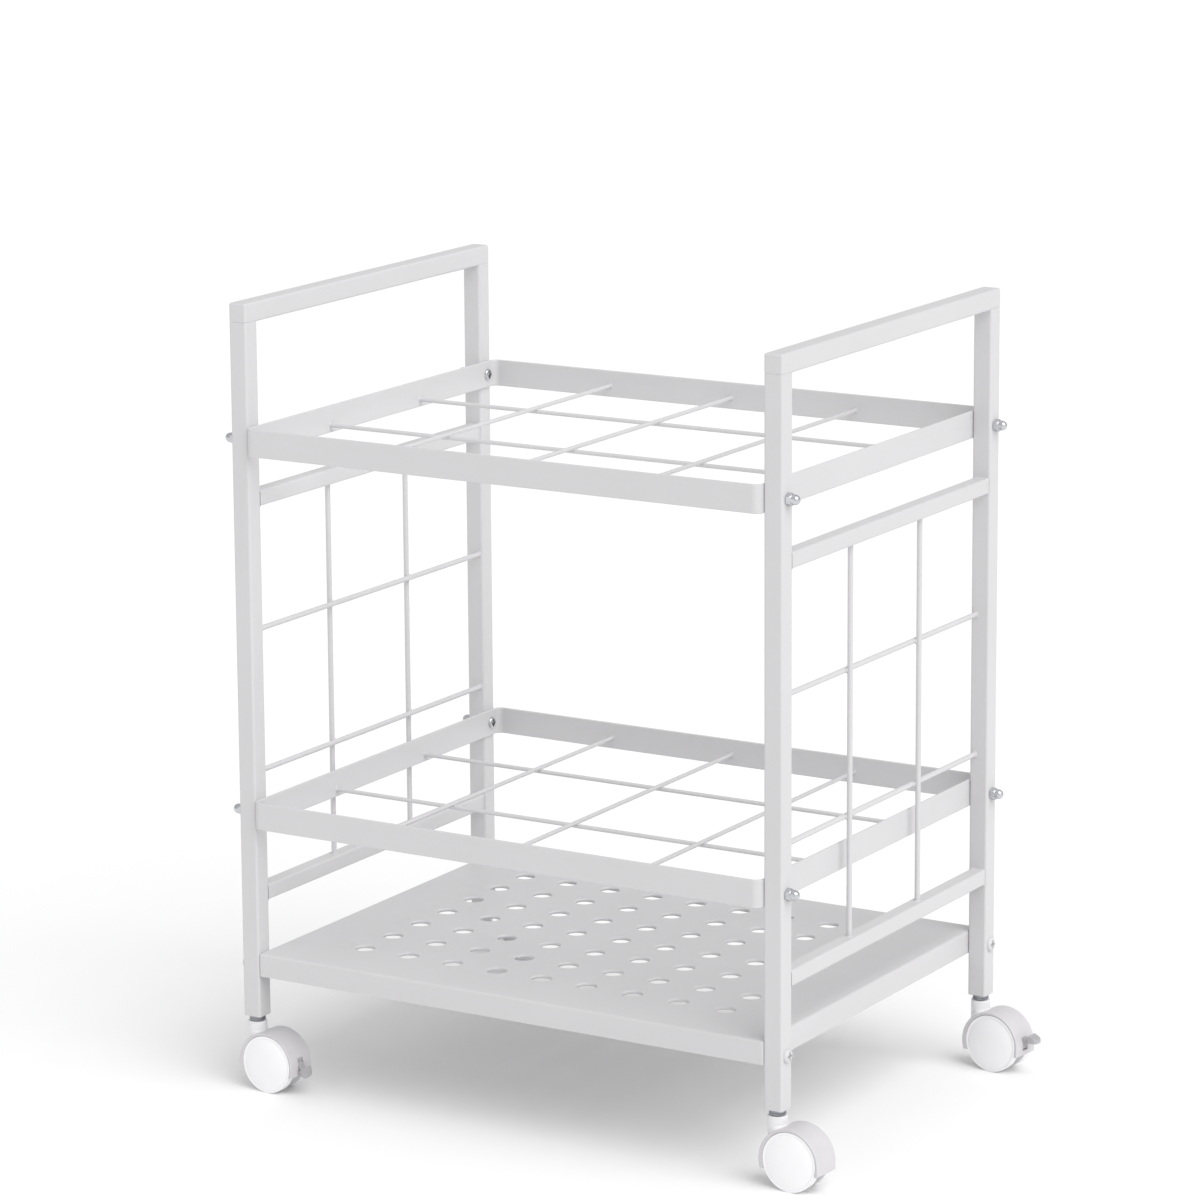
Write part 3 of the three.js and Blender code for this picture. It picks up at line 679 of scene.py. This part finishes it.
# %% Heads with a cross recess
def head(radius, height, crown):
    """About Z, standing on z = 0: a disc mapped from a square grid by x = a sqrt(1 - b^2 / 2) and
    y = b sqrt(1 - a^2 / 2), raised by height times (1 - r^crown)^0.4. A cross is pressed in where
    one of a and b is small and the other isn't large."""
    slot, arm = 0.16, 0.6
    steps = np.array([0, 0.08, slot, slot + 0.04, 0.28, 0.38, 0.48, arm, arm + 0.05, 0.72, 0.8, 0.88,
                      0.94, 0.975, 0.992, 1])
    steps = np.concatenate([-steps[:0:-1], steps])
    a, b = np.meshgrid(steps, steps, indexing="ij")
    x, y = a * np.sqrt(1 - b * b / 2), b * np.sqrt(1 - a * a / 2)
    across = np.minimum(np.hypot(x, y), 1)
    inner = [np.clip((slot + 0.04 - np.abs(c)) / 0.04, 0, 1) for c in (a, b)]
    outer = [np.clip((arm + 0.05 - np.abs(c)) / 0.05, 0, 1) for c in (a, b)]
    cross = np.maximum(inner[0] * outer[1], inner[1] * outer[0])
    z = height * (1 - across ** crown) ** 0.4 - height * 0.85 * cross
    top = np.stack([x * radius, y * radius, z], axis=-1)
    count = len(steps)
    index = np.arange(count * count).reshape(count, count)
    faces = np.stack([index[:-1, :-1], index[1:, :-1], index[1:, 1:], index[:-1, 1:]], axis=-1)
    faces, top = faces.reshape(-1, 4), top.reshape(-1, 3)
    return merged(np.vstack([top, top * [1, 1, 0]]), np.vstack([faces, faces[:, ::-1] + count * count]))


# %% Nuts and bolts on the bands, screws on the shelf
BOLT_HEAD, BOLT_HEAD_HIGH, BOLT_SHANK, BOLT_LONG = 4.5, 2.2, 2.5, 22
SCREW_HEAD, SCREW_HEAD_HIGH, SCREW_SHANK, SCREW_LONG = 5.25, 2.6, 2, 18
OUTWARD = {"left": (-Y, Z, -X), "right": (Y, Z, X)}
INWARD = {"left": OUTWARD["right"], "right": OUTWARD["left"]}


def headed(at, axes, radius, height, crown, shank, long):
    """A head with its shank behind it, at the place of the head's seat."""
    rod = spun([(0, -long), (shank, -long), (shank, 0), (0, 0)], 20)
    return [moved(head(radius, height, crown), at, axes), moved(rod, at, axes)]


for corner in CORNERS:
    side = corner.split("_")[1]
    sign = 1 if side == "right" else -1
    for level in ("upper", "lower"):
        low, high, middle = box_of(f"{level}_cap_nut_{corner}")
        seat = np.where(X > 0, low if sign > 0 else high, middle)
        piece(f"domed_nut_{level}_{corner}", [moved(cap_nut(), seat, OUTWARD[side])],
              zinc_plate, "frame", [f"{level}_cap_nut_{corner}"])
        low, high, _ = box_of(f"{level}_bolt_{corner}")
        inner_face = (low if sign > 0 else high)[0] + sign * BOLT_HEAD_HIGH
        bolt = headed((inner_face, seat[1], seat[2]), INWARD[side],
                      BOLT_HEAD, BOLT_HEAD_HIGH, 4, BOLT_SHANK, BOLT_LONG)
        piece(f"band_bolt_{level}_{corner}", bolt,
              zinc_plate, "frame", [f"{level}_bolt_{corner}"])
    outer_face = box_of(f"leg_{corner}")[1 if sign > 0 else 0][0]
    at = (outer_face, *box_of(f"shelf_screw_{corner}")[2][1:])
    screw = headed(at, OUTWARD[side], SCREW_HEAD, SCREW_HEAD_HIGH, 5, SCREW_SHANK, SCREW_LONG)
    coated(f"pan_screw_{corner}", screw, f"shelf_screw_{corner}")
print("nuts, bolts and screws:", sum(name.startswith(("domed", "band", "pan")) for name in made))

# %% [markdown]
# Casters.
#
# Each caster is a twin wheel one. Seen from its own axle it is simple: a hood that follows the
# wheels from low behind them, over the top and down in front, a neck that stands on the hood's
# leading side, and a web between the wheels that carries the axle. So a caster is made about its
# axle, with one axis to where the wheels trail, one along the axle and one up, and is then put in
# its place, turned as it stands.

# %% Where the casters stand and how they are turned
JOINTS = {joint["name"]: joint for joint in frame["joints"]}
WHEEL = 22.1
TRAIL = 17.3


def caster_place(corner):
    """The middle of the axle, and the axes: trailing, along the axle, up. The trailing direction
    is the axle's direction times up."""
    roll = JOINTS[f"roll_a_{corner}"]
    axle = np.array(roll["axis"], float)
    return np.array(roll["pos_m"]) * METRE, np.array([np.cross(axle, Z), axle, Z])


for corner in CORNERS:
    at, axes = caster_place(corner)
    print(corner, "caster trails at", round(math.degrees(math.atan2(axes[0][1], axes[0][0])), 1), "degrees")

# %% [markdown]
# Stem and collar.
#
# A turned steel pin joins caster and leg. All that shows is its collar, a ring between the leg's
# end and the plastic neck, with a fine groove round it. Its darker zinc is painted shade, for the
# shadow that falls between leg and neck.

# %% Stem with its collar
LEG_END = 56
COLLAR = 6.15
COLLAR_LOW = 52
LINE_AT, LINE_DEEP = 54, 0.4


def stem():
    """A profile spun about the swivel axis, its heights from the floor."""
    return spun([
        (0, COLLAR_LOW - 8), (3, COLLAR_LOW - 8), (3, COLLAR_LOW), (COLLAR - 0.7, COLLAR_LOW),
        (COLLAR - 0.2, COLLAR_LOW + 0.2), (COLLAR, COLLAR_LOW + 0.7),
        (COLLAR, LINE_AT - 0.4), (COLLAR - LINE_DEEP, LINE_AT - 0.2),
        (COLLAR - LINE_DEEP, LINE_AT + 0.2), (COLLAR, LINE_AT + 0.4),
        (COLLAR, LEG_END - 0.7), (COLLAR - 0.2, LEG_END - 0.2),
        (COLLAR - 0.7, LEG_END), (4, LEG_END), (4, LEG_END + 15), (0, LEG_END + 15)], 64)


for corner in CORNERS:
    swivel = np.array(JOINTS[f"swivel_{corner}"]["pos_m"]) * METRE * [1, 1, 0]
    # The collar wears the darker zinc copy: its colour is painted shade.
    piece(f"collar_pin_{corner}", [moved(stem(), swivel)],
          zinc_painted_shade, "frame", [f"caster_stem_{corner}"])
print("collar:", COLLAR * 2, "mm across")

# %% [markdown]
# Hood, web and neck.
#
# The hood's outside is a circle whose middle lies a millimetre ahead of the axle and a millimetre
# below it, so its wall grows from thin on top to over three millimetres at the front end. Behind, it
# runs straight down, and both ends are cut level. A braked caster has a slot behind, hardly wider
# than the lever's arm, that ends just over it. The neck is a piece of its own, so that it can wear a
# lighter copy of the hood's nylon as painted light, while the hood's greyer copy is painted shade.
# It is a round post that spreads to both sides where it stands on the hood, nearly to the hood's edges.

# %% Hood as an arc of changing wall
HOOD_IN = 22.35
HOOD_OUT = 24.95
HOOD_SHIFT = 1
HOOD_HALF = 12.3
HOOD_BACK_CUT = 7.0
HOOD_FRONT_CUT = 8.3
HOOD_BACK = 23.95
HOOD_FROM = -16.3
HOOD_TO = 198.4


def hood_outside(angle):
    """The distance from the axle to the hood's outer circle of radius R: with s the shift times the
    sum of the angle's cosine and sine, it is the root of (R squared - twice the shift squared + s
    squared), less s. Below the circle's widest point behind, it is the distance of a straight wall
    divided by the cosine."""
    s = HOOD_SHIFT * (np.cos(angle) + np.sin(angle))
    circle = np.sqrt(HOOD_OUT ** 2 - 2 * HOOD_SHIFT ** 2 + s * s) - s
    behind = (np.sin(angle) < -HOOD_SHIFT / HOOD_BACK) & (np.cos(angle) > 0)
    return np.where(behind, HOOD_BACK / np.cos(angle), circle)


def hood_wall(low, high, start, stop, edge=0.35, end_edge=0.3, steps=48):
    """The hood's wall from low to high along the axle and between two angles in degrees: its section
    is a rounded rectangle. At the hood's own ends each point stops where it meets the level cut, at
    the angle whose sine is the cut's depth divided by the point's distance."""
    first, last = math.radians(start), math.radians(stop)
    near = end_edge / HOOD_OUT
    ends = near * np.array([0, 0.3, 1])
    angle = np.concatenate([first + ends, np.linspace(first, last, steps)[1:-1], last - ends[::-1]])
    inset = np.zeros(len(angle))
    inset[[0, 1, -2, -1]] = np.array([1, 0.3, 0.3, 1]) * end_edge
    outside = hood_outside(angle)
    half = (outside - HOOD_IN) / 2
    turned = np.clip(half * 0.9, 0.1, edge) - inset * 0.3
    ring = rounded(half - inset, (high - low) / 2 - inset, turned)
    away = ring[:, :, 0] + ((HOOD_IN + outside) / 2)[:, None]
    across = ring[:, :, 1] + (low + high) / 2
    turn = angle[:, None] + 0 * away
    if start == HOOD_FROM:
        turn[:3] -= np.arcsin(HOOD_BACK_CUT / away[0]) + first
    if stop == HOOD_TO:
        turn[-3:] += np.arcsin(HOOD_FRONT_CUT / away[-1]) + np.pi - last
    return capped(np.stack([away * np.cos(turn), across, away * np.sin(turn)], axis=-1))


# %% Web between the wheels
WEB_HALF = 5.2
RAMP_FACING = 10
RAMP = 14.5
RAMP_FROM, RAMP_TO = -40, 62


def web(low, high, ramped=False):
    """A plate in the middle of the caster: a disc cut by the straight line between the hood's two
    ends, so its radius is never more than the cut's depth divided by the sine of the angle below
    level. A ramp behind leaves room for the lever: a straight line, whose radius is its distance
    from the axle divided by the cosine of the angle from where it faces."""
    angle = np.radians(np.arange(0, 360, 2.0))
    behind = (np.degrees(angle) + 180) % 360 - 180
    depth = np.where(np.cos(angle) > 0, HOOD_BACK_CUT, HOOD_FRONT_CUT)
    radius = np.minimum(HOOD_IN + 0.3, depth / np.maximum(-np.sin(angle), 0.01))
    if ramped:
        cut = RAMP / np.cos(np.radians(behind - RAMP_FACING).clip(-1.4, 1.4))
        radius = np.where((behind > RAMP_FROM) & (behind < RAMP_TO), np.minimum(radius, cut), radius)
    inset = np.array([0.4, 0.12, 0, 0, 0.12, 0.4])[:, None]
    level = np.array([high, high - 0.12, high - 0.4, low + 0.4, low + 0.12, low])[:, None]
    away = radius - inset
    return capped(np.stack([away * np.cos(angle), level + 0 * away, away * np.sin(angle)], axis=-1))


# %% Neck on the hood
NECK = 7.25
NECK_BORE = 3.35
NECK_TOP = 51.7 - WHEEL
NECK_FLARE = 0.8
NECK_SPREAD = 3.85
FOOT_STEP, FOOT_SUNK = 0.25, 0.6


def neck():
    """A round post about the swivel axis whose foot follows the hood: at each angle it starts a
    little over the hood's outer circle, in a small upright step that goes down into the hood. From
    there the post narrows in a quarter circle, whose size is the flare ahead and behind and grows
    to flare and spread at both sides, with the fourth power of the angle's sine. A fine line runs
    round its top."""
    angle = np.arange(96) * 2 * np.pi / 96
    share = np.array([0, 0, 0.03, 0.1, 0.2, 0.35, 0.5, 0.7, 1.0])[:, None]
    over = np.where(np.arange(9) > 0, FOOT_STEP, -FOOT_SUNK)[:, None]
    size = NECK_FLARE + NECK_SPREAD * np.sin(angle) ** 4
    radius = NECK + size * (1 - np.sqrt(1 - (1 - share) ** 2))
    ahead = radius * np.cos(angle) - TRAIL + HOOD_SHIFT
    foot = np.sqrt(HOOD_OUT ** 2 - ahead ** 2) - HOOD_SHIFT + share * size + over
    top = [-2.3, -2.0, -1.9, -1.6, -1.5, -1.2, -0.6, -0.25, -0.05, 0, 0, -9.3]
    less = [0, 0, 0.15, 0.15, 0, 0, 0, 0.1, 0.35, 0.6, NECK - NECK_BORE, NECK - NECK_BORE]
    radius = np.vstack([radius, NECK - np.array(less)[:, None] + 0 * angle])
    z = np.vstack([foot, NECK_TOP + np.array(top)[:, None] + 0 * angle])
    return capped(around(radius, z, len(angle)) - [TRAIL, 0, 0])


# %% Housings, with and without a brake
BRAKED = ("front_left", "rear_right")
SLOT_HALF = 3.2
SLOT_FROM, SLOT_TO = -8, 16.5
SLOT_EDGE = 0.05


def housing(braked):
    """All walls of one housing, about its axle."""
    if not braked:
        return [hood_wall(-HOOD_HALF, HOOD_HALF, HOOD_FROM, HOOD_TO), web(-WEB_HALF, WEB_HALF)]
    runs = [(-HOOD_HALF, HOOD_HALF, SLOT_TO, HOOD_TO, 0.35, SLOT_EDGE, 48),
            (-HOOD_HALF, HOOD_HALF, HOOD_FROM, SLOT_FROM, 0.35, SLOT_EDGE, 6),
            (-HOOD_HALF, -SLOT_HALF, SLOT_FROM - 0.5, SLOT_TO + 0.5, 0.3, SLOT_EDGE, 14),
            (SLOT_HALF, HOOD_HALF, SLOT_FROM - 0.5, SLOT_TO + 0.5, 0.3, SLOT_EDGE, 14)]
    return [hood_wall(*run) for run in runs] + [
        web(-SLOT_HALF, SLOT_HALF, ramped=True), web(SLOT_HALF, WEB_HALF), web(-WEB_HALF, -SLOT_HALF)]


for corner in CORNERS:
    at, axes = caster_place(corner)
    body, node = f"caster_{corner}", f"caster_housing_{corner}"
    walls = [moved(wall, at, axes) for wall in housing(corner in BRAKED)]
    # The hood gets the greyer nylon, painted shade; the neck the lighter one, painted light.
    piece(f"hooded_housing_{corner}", walls, hood_nylon_painted_shade, body, [node])
    piece(f"swivel_neck_{corner}", [moved(neck(), at, axes)], neck_nylon_painted_light, body, [node])
print("housing faces:", [made[f"hooded_housing_{corner}"] for corner in CORNERS])

# %% [markdown]
# Wheels.
#
# A wheel is a moulded cap: a smooth tread, a rounded rim, a fine step inside the rim and a face
# that bulges like a watch glass. Spun as one profile with 96 sides its outline stays round
# even close by.

# %% Twin wheels
FACE = 19.9
FACE_PLANE, FACE_BULGE = 12.45, 2.5
RIM_PLANE, RIM_ROUND = 12.6, 0.3
BACK_PLANE, BORE, BORE_END = 5.7, 2.8, 11


def wheel():
    """A profile spun about the axle, from the closed bore over the tread to the domed face, whose
    height at the share c of its radius is 12.45 mm plus 2.5 mm times (1 - c squared)^0.8."""
    edge = np.linspace(0, np.pi / 2, 7)
    rim = [(WHEEL - RIM_ROUND * (1 - math.cos(t)), RIM_PLANE - RIM_ROUND * (1 - math.sin(t))) for t in edge]
    turn = np.linspace(0, np.pi / 2, 18)
    face = [(FACE * math.cos(t), FACE_PLANE + FACE_BULGE * math.sin(t) ** 1.6) for t in turn]
    return spun([(0, BORE_END), (BORE, BORE_END), (BORE, BACK_PLANE), (WHEEL - 0.5, BACK_PLANE),
                 (WHEEL, BACK_PLANE + 0.5), *rim, (FACE + 0.5, RIM_PLANE), (FACE + 0.2, FACE_PLANE - 0.1),
                 *face[:-1], (0, FACE_PLANE + FACE_BULGE)], 96)


for corner in CORNERS:
    at, (trailing, axle, up) = caster_place(corner)
    for letter, axes in (("a", (trailing, up, -axle)), ("b", (up, trailing, axle))):
        piece(f"twin_wheel_{letter}_{corner}", [moved(wheel(), at, axes)],
              white_nylon, f"wheel_{letter}_{corner}", [f"caster_wheel_{letter}_{corner}"])
print("wheel faces:", made["twin_wheel_a_front_left"])

# %% [markdown]
# Brake levers.
#
# Two corners have a small foot lever. A round hub fills the hood's slot, a skirt under the arm closes
# the rest of it while the lever is up, and outside the hood the arm ends in a wedge for the shoe, with
# ridges that run down its sloping top. The front left one is pressed down, the rear right one is up.

# %% Wedge on an arm, and the skirt under it
LEVER_BACK, LEVER_UP = 19.5, 5
LEVER_LENGTH = 16.75
WEDGE_FROM = 9.5
WEDGE_HALF = 4.8
WEDGE_DROP = 1.2
WEDGE_RISE, TIP_RISE = 5.2, 1.6
TIP_ROUND = 3.5
ARM_HALF = 3.0
ARM_THICK = 1.2
RIDGE_PITCH = 2.4
GROOVE_DEPTH = 0.7
SKIRT_HALF, SKIRT_DROP, SKIRT_INSIDE = 0.65, 7.1, 0.35


def lever():
    """Along Z from the pivot, one section a row. The half width and the height grow from the arm's to
    the wedge's in half a millimetre, the height then falls in a straight line to the tip, and the
    width follows a circle at the tip's corners. Each section's upper and lower edges turn over in
    quarter circles of 0.6 mm, and grooves 2.4 mm apart are pressed into the wedge where the cosine
    of the place across it is low."""
    tip = LEVER_LENGTH - TIP_ROUND
    z = np.concatenate([[1.5, 6], np.linspace(9.3, 10.2, 8), np.linspace(10.3, tip, 12),
                        tip + TIP_ROUND * np.sin(np.linspace(0.1, np.pi / 2, 14))])[:, None]
    grown = np.sin(np.clip((z - WEDGE_FROM + 0.1) / 0.5, 0, 1) * np.pi / 2)
    round_off = 1 - np.sqrt(1 - 0.995 * np.clip((z - tip) / TIP_ROUND, 0, 1) ** 2)
    width = ARM_HALF + (WEDGE_HALF - ARM_HALF) * grown - TIP_ROUND * round_off
    slope = np.clip((z - WEDGE_FROM) / (LEVER_LENGTH - WEDGE_FROM), 0, 1)
    rise = ARM_THICK + (WEDGE_RISE + (TIP_RISE - WEDGE_RISE) * slope - ARM_THICK) * grown
    blunt = 0.7 * (1 - np.sqrt(1 - np.clip((z - LEVER_LENGTH + 0.7) / 0.7, 0, 1) ** 2))
    x = width * np.linspace(-1, 1, 61)
    turned = 0.6 * (1 - np.sqrt(1 - np.clip((np.abs(x) - width + 0.6) / 0.6, 0, 1) ** 2)) + blunt
    on_wedge = np.clip((z - 10.2) * 2, 0, 1) * np.clip((width - 0.6 - np.abs(x)) * 3, 0, 1)
    groove = GROOVE_DEPTH * np.clip(-1.3 * np.cos(x * 2 * np.pi / RIDGE_PITCH) - 0.3, 0, 1) * on_wedge
    top, under = rise - turned - groove, turned - WEDGE_DROP
    across = np.hstack([x[:, ::-1], x])
    return capped(np.dstack([across, np.hstack([top[:, ::-1], under]), z + 0 * across]))


def skirt():
    """A plate that hangs from the arm in the slot. At each height its outer face lies a little
    inside the hood's outer circle, seen from the pivot, which lies behind the axle and above it."""
    depth = np.linspace(-1, SKIRT_DROP, 10)
    height = LEVER_UP - depth
    outer = np.sqrt(HOOD_OUT ** 2 - (height + HOOD_SHIFT) ** 2) - HOOD_SHIFT - SKIRT_INSIDE - LEVER_BACK
    ring = rounded(ARM_HALF, SKIRT_HALF, 0.3) + 0 * depth[:, None, None]
    back = ring[:, :, 1] + outer[:, None] - SKIRT_HALF
    return capped(np.dstack([ring[:, :, 0], back, depth[:, None] + 0 * back]))


# %% Levers with hub and skirt
HUB = 3.4
PIN, PIN_HALF = 1.3, 4.9
PRESSED = {"front_left": 50, "rear_right": 0}

for corner, pressed in PRESSED.items():
    _, axes = caster_place(corner)
    pivot = np.array(JOINTS[f"brake_{corner}"]["pos_m"]) * METRE
    tilt = math.radians(pressed)
    along = axes[0] * math.cos(tilt) - Z * math.sin(tilt)
    above = axes[0] * math.sin(tilt) + Z * math.cos(tilt)
    hub = spun([(0, -ARM_HALF), (HUB - 0.2, -ARM_HALF), (HUB, 0.2 - ARM_HALF), (HUB, ARM_HALF - 0.2),
                (HUB - 0.2, ARM_HALF), (PIN, ARM_HALF), (PIN, PIN_HALF), (0, PIN_HALF)], 48)
    pin = spun([(0, -PIN_HALF), (PIN, -PIN_HALF), (PIN, -ARM_HALF), (0, -ARM_HALF)], 40)
    parts = [moved(lever(), pivot, (axes[1], above, along)),
             moved(skirt(), pivot, (axes[1], along, -above))]
    parts += [moved(part, pivot, (Z, axes[0], axes[1])) for part in (hub, pin)]
    piece(f"foot_lever_{corner}", parts,
          lever_nylon, f"brake_{corner}", [f"brake_lever_{corner}"])
print("levers at", PRESSED, "degrees below level")

# %% [markdown]
# The axles stay as they are.
#
# An axle is a plain steel pin that the wheels hide, so its solid is good enough. It only gets the
# zinc finish, on the solid's own material slots.

# %% Dress the axles
for corner in CORNERS:
    axle = frame["nodes"][f"caster_axle_{corner}"]
    axle.data.materials.clear()
    axle.data.materials.append(zinc_plate)
print("axles dressed:", len(CORNERS))

# %% [markdown]
# Floor and light.
#
# The cart stands on a plain pale floor in soft light. One very wide source high on the right does
# most of it, as a silk canopy would in a studio: it reaches the whole floor evenly, which keeps it
# white up to the top of the picture. A panel in front and a pale sky fill the shadows.

# %% Floor
PAINT_MOTTLE = 350
REACH = 30

floor_paint, tree, place = new_finish("pale_studio_floor_paint")
spread = add_node(tree, "ShaderNodeTexNoise", {}, {"Scale": per_metre(PAINT_MOTTLE), "Detail": 2.0},
                  {"Vector": (place, "Object")})
tone = add_node(tree, "ShaderNodeMix", {"data_type": "RGBA"}, {6: linear("#fafafa"), 7: linear("#fcfcfc")},
                {0: (spread, 0)})
paint = add_node(tree, "ShaderNodeBsdfPrincipled", {}, {"Roughness": 0.7, "Specular IOR Level": 0.2},
                 {"Base Color": (tone, 2)})
add_node(tree, "ShaderNodeOutputMaterial", {}, {}, {"Surface": (paint, 0)})
mesh = bpy.data.meshes.new("studio_floor")
floor_corners = [(-REACH, -REACH, 0), (REACH, -REACH, 0), (REACH, REACH, 0), (-REACH, REACH, 0)]
mesh.from_pydata(floor_corners, [], [(0, 1, 2, 3)])
mesh.materials.append(floor_paint)
floor = bpy.data.objects.new("studio_floor", mesh)
bpy.context.scene.collection.objects.link(floor)
print("floor:", REACH * 2, "m across")


# %% Light panels and sky
def lamp(name, kind, place, target, power, settings):
    """A light that looks from a place to a target, both in metres."""
    light = bpy.data.lights.new(name, kind)
    light.energy = power
    for setting, value in settings.items():
        setattr(light, setting, value)
    shown = bpy.data.objects.new(name, light)
    shown.location = place
    shown.rotation_euler = (Vector(target) - Vector(place)).to_track_quat("-Z", "Y").to_euler()
    bpy.context.scene.collection.objects.link(shown)


lamp("front_panel", "AREA", (-0.6, -3.4, 1.2), (0, 0, 0.3), 5,
     {"shape": "RECTANGLE", "size": 2.4, "size_y": 1.6})
lamp("soft_canopy", "SUN", (0.65, -0.22, 0.73), (0, 0, 0), 1.9, {"angle": math.radians(55)})

sky = bpy.data.worlds.new("studio_sky")
sky.use_nodes = True
sky.node_tree.nodes.clear()
glow = add_node(sky.node_tree, "ShaderNodeBackground", {}, {"Color": linear("#f9f9fa"), "Strength": 0.69})
add_node(sky.node_tree, "ShaderNodeOutputWorld", {}, {}, {"Surface": (glow, 0)})
bpy.context.scene.world = sky
bpy.context.scene.view_settings.view_transform = "Standard"

# %% [markdown]
# The camera.
#
# The place, the direction and the long lens come from fitting the cart's known edges to the
# picture. A small shift sets the cart in the frame, and nothing is out of focus.

# %% Camera at the picture's angle
YAW, PITCH_DOWN, ROLL = (math.radians(angle) for angle in (31.209, 11.78, -0.394))
level = Vector((-math.sin(YAW), math.cos(YAW), 0))
forward = level * math.cos(PITCH_DOWN) - Vector((0, 0, math.sin(PITCH_DOWN)))
right = forward.cross(Vector((0, 0, 1))).normalized()
up = right.cross(forward)
turned_right = right * math.cos(ROLL) + up * math.sin(ROLL)
turned_up = up * math.cos(ROLL) - right * math.sin(ROLL)

lens = bpy.data.cameras.new("picture_lens")
lens.sensor_width = 36
lens.lens = 149.44
lens.shift_x, lens.shift_y = 0.0045, -0.0592
lens.clip_end = 100
camera = bpy.data.objects.new("picture_camera", lens)
turn = Matrix((turned_right, turned_up, -forward)).transposed().to_4x4()
camera.matrix_world = Matrix.Translation((1.85537, -3.12509, 1.1859)) @ turn
bpy.context.scene.collection.objects.link(camera)
bpy.context.scene.camera = camera
print("camera", camera.location[:], "lens", lens.lens)
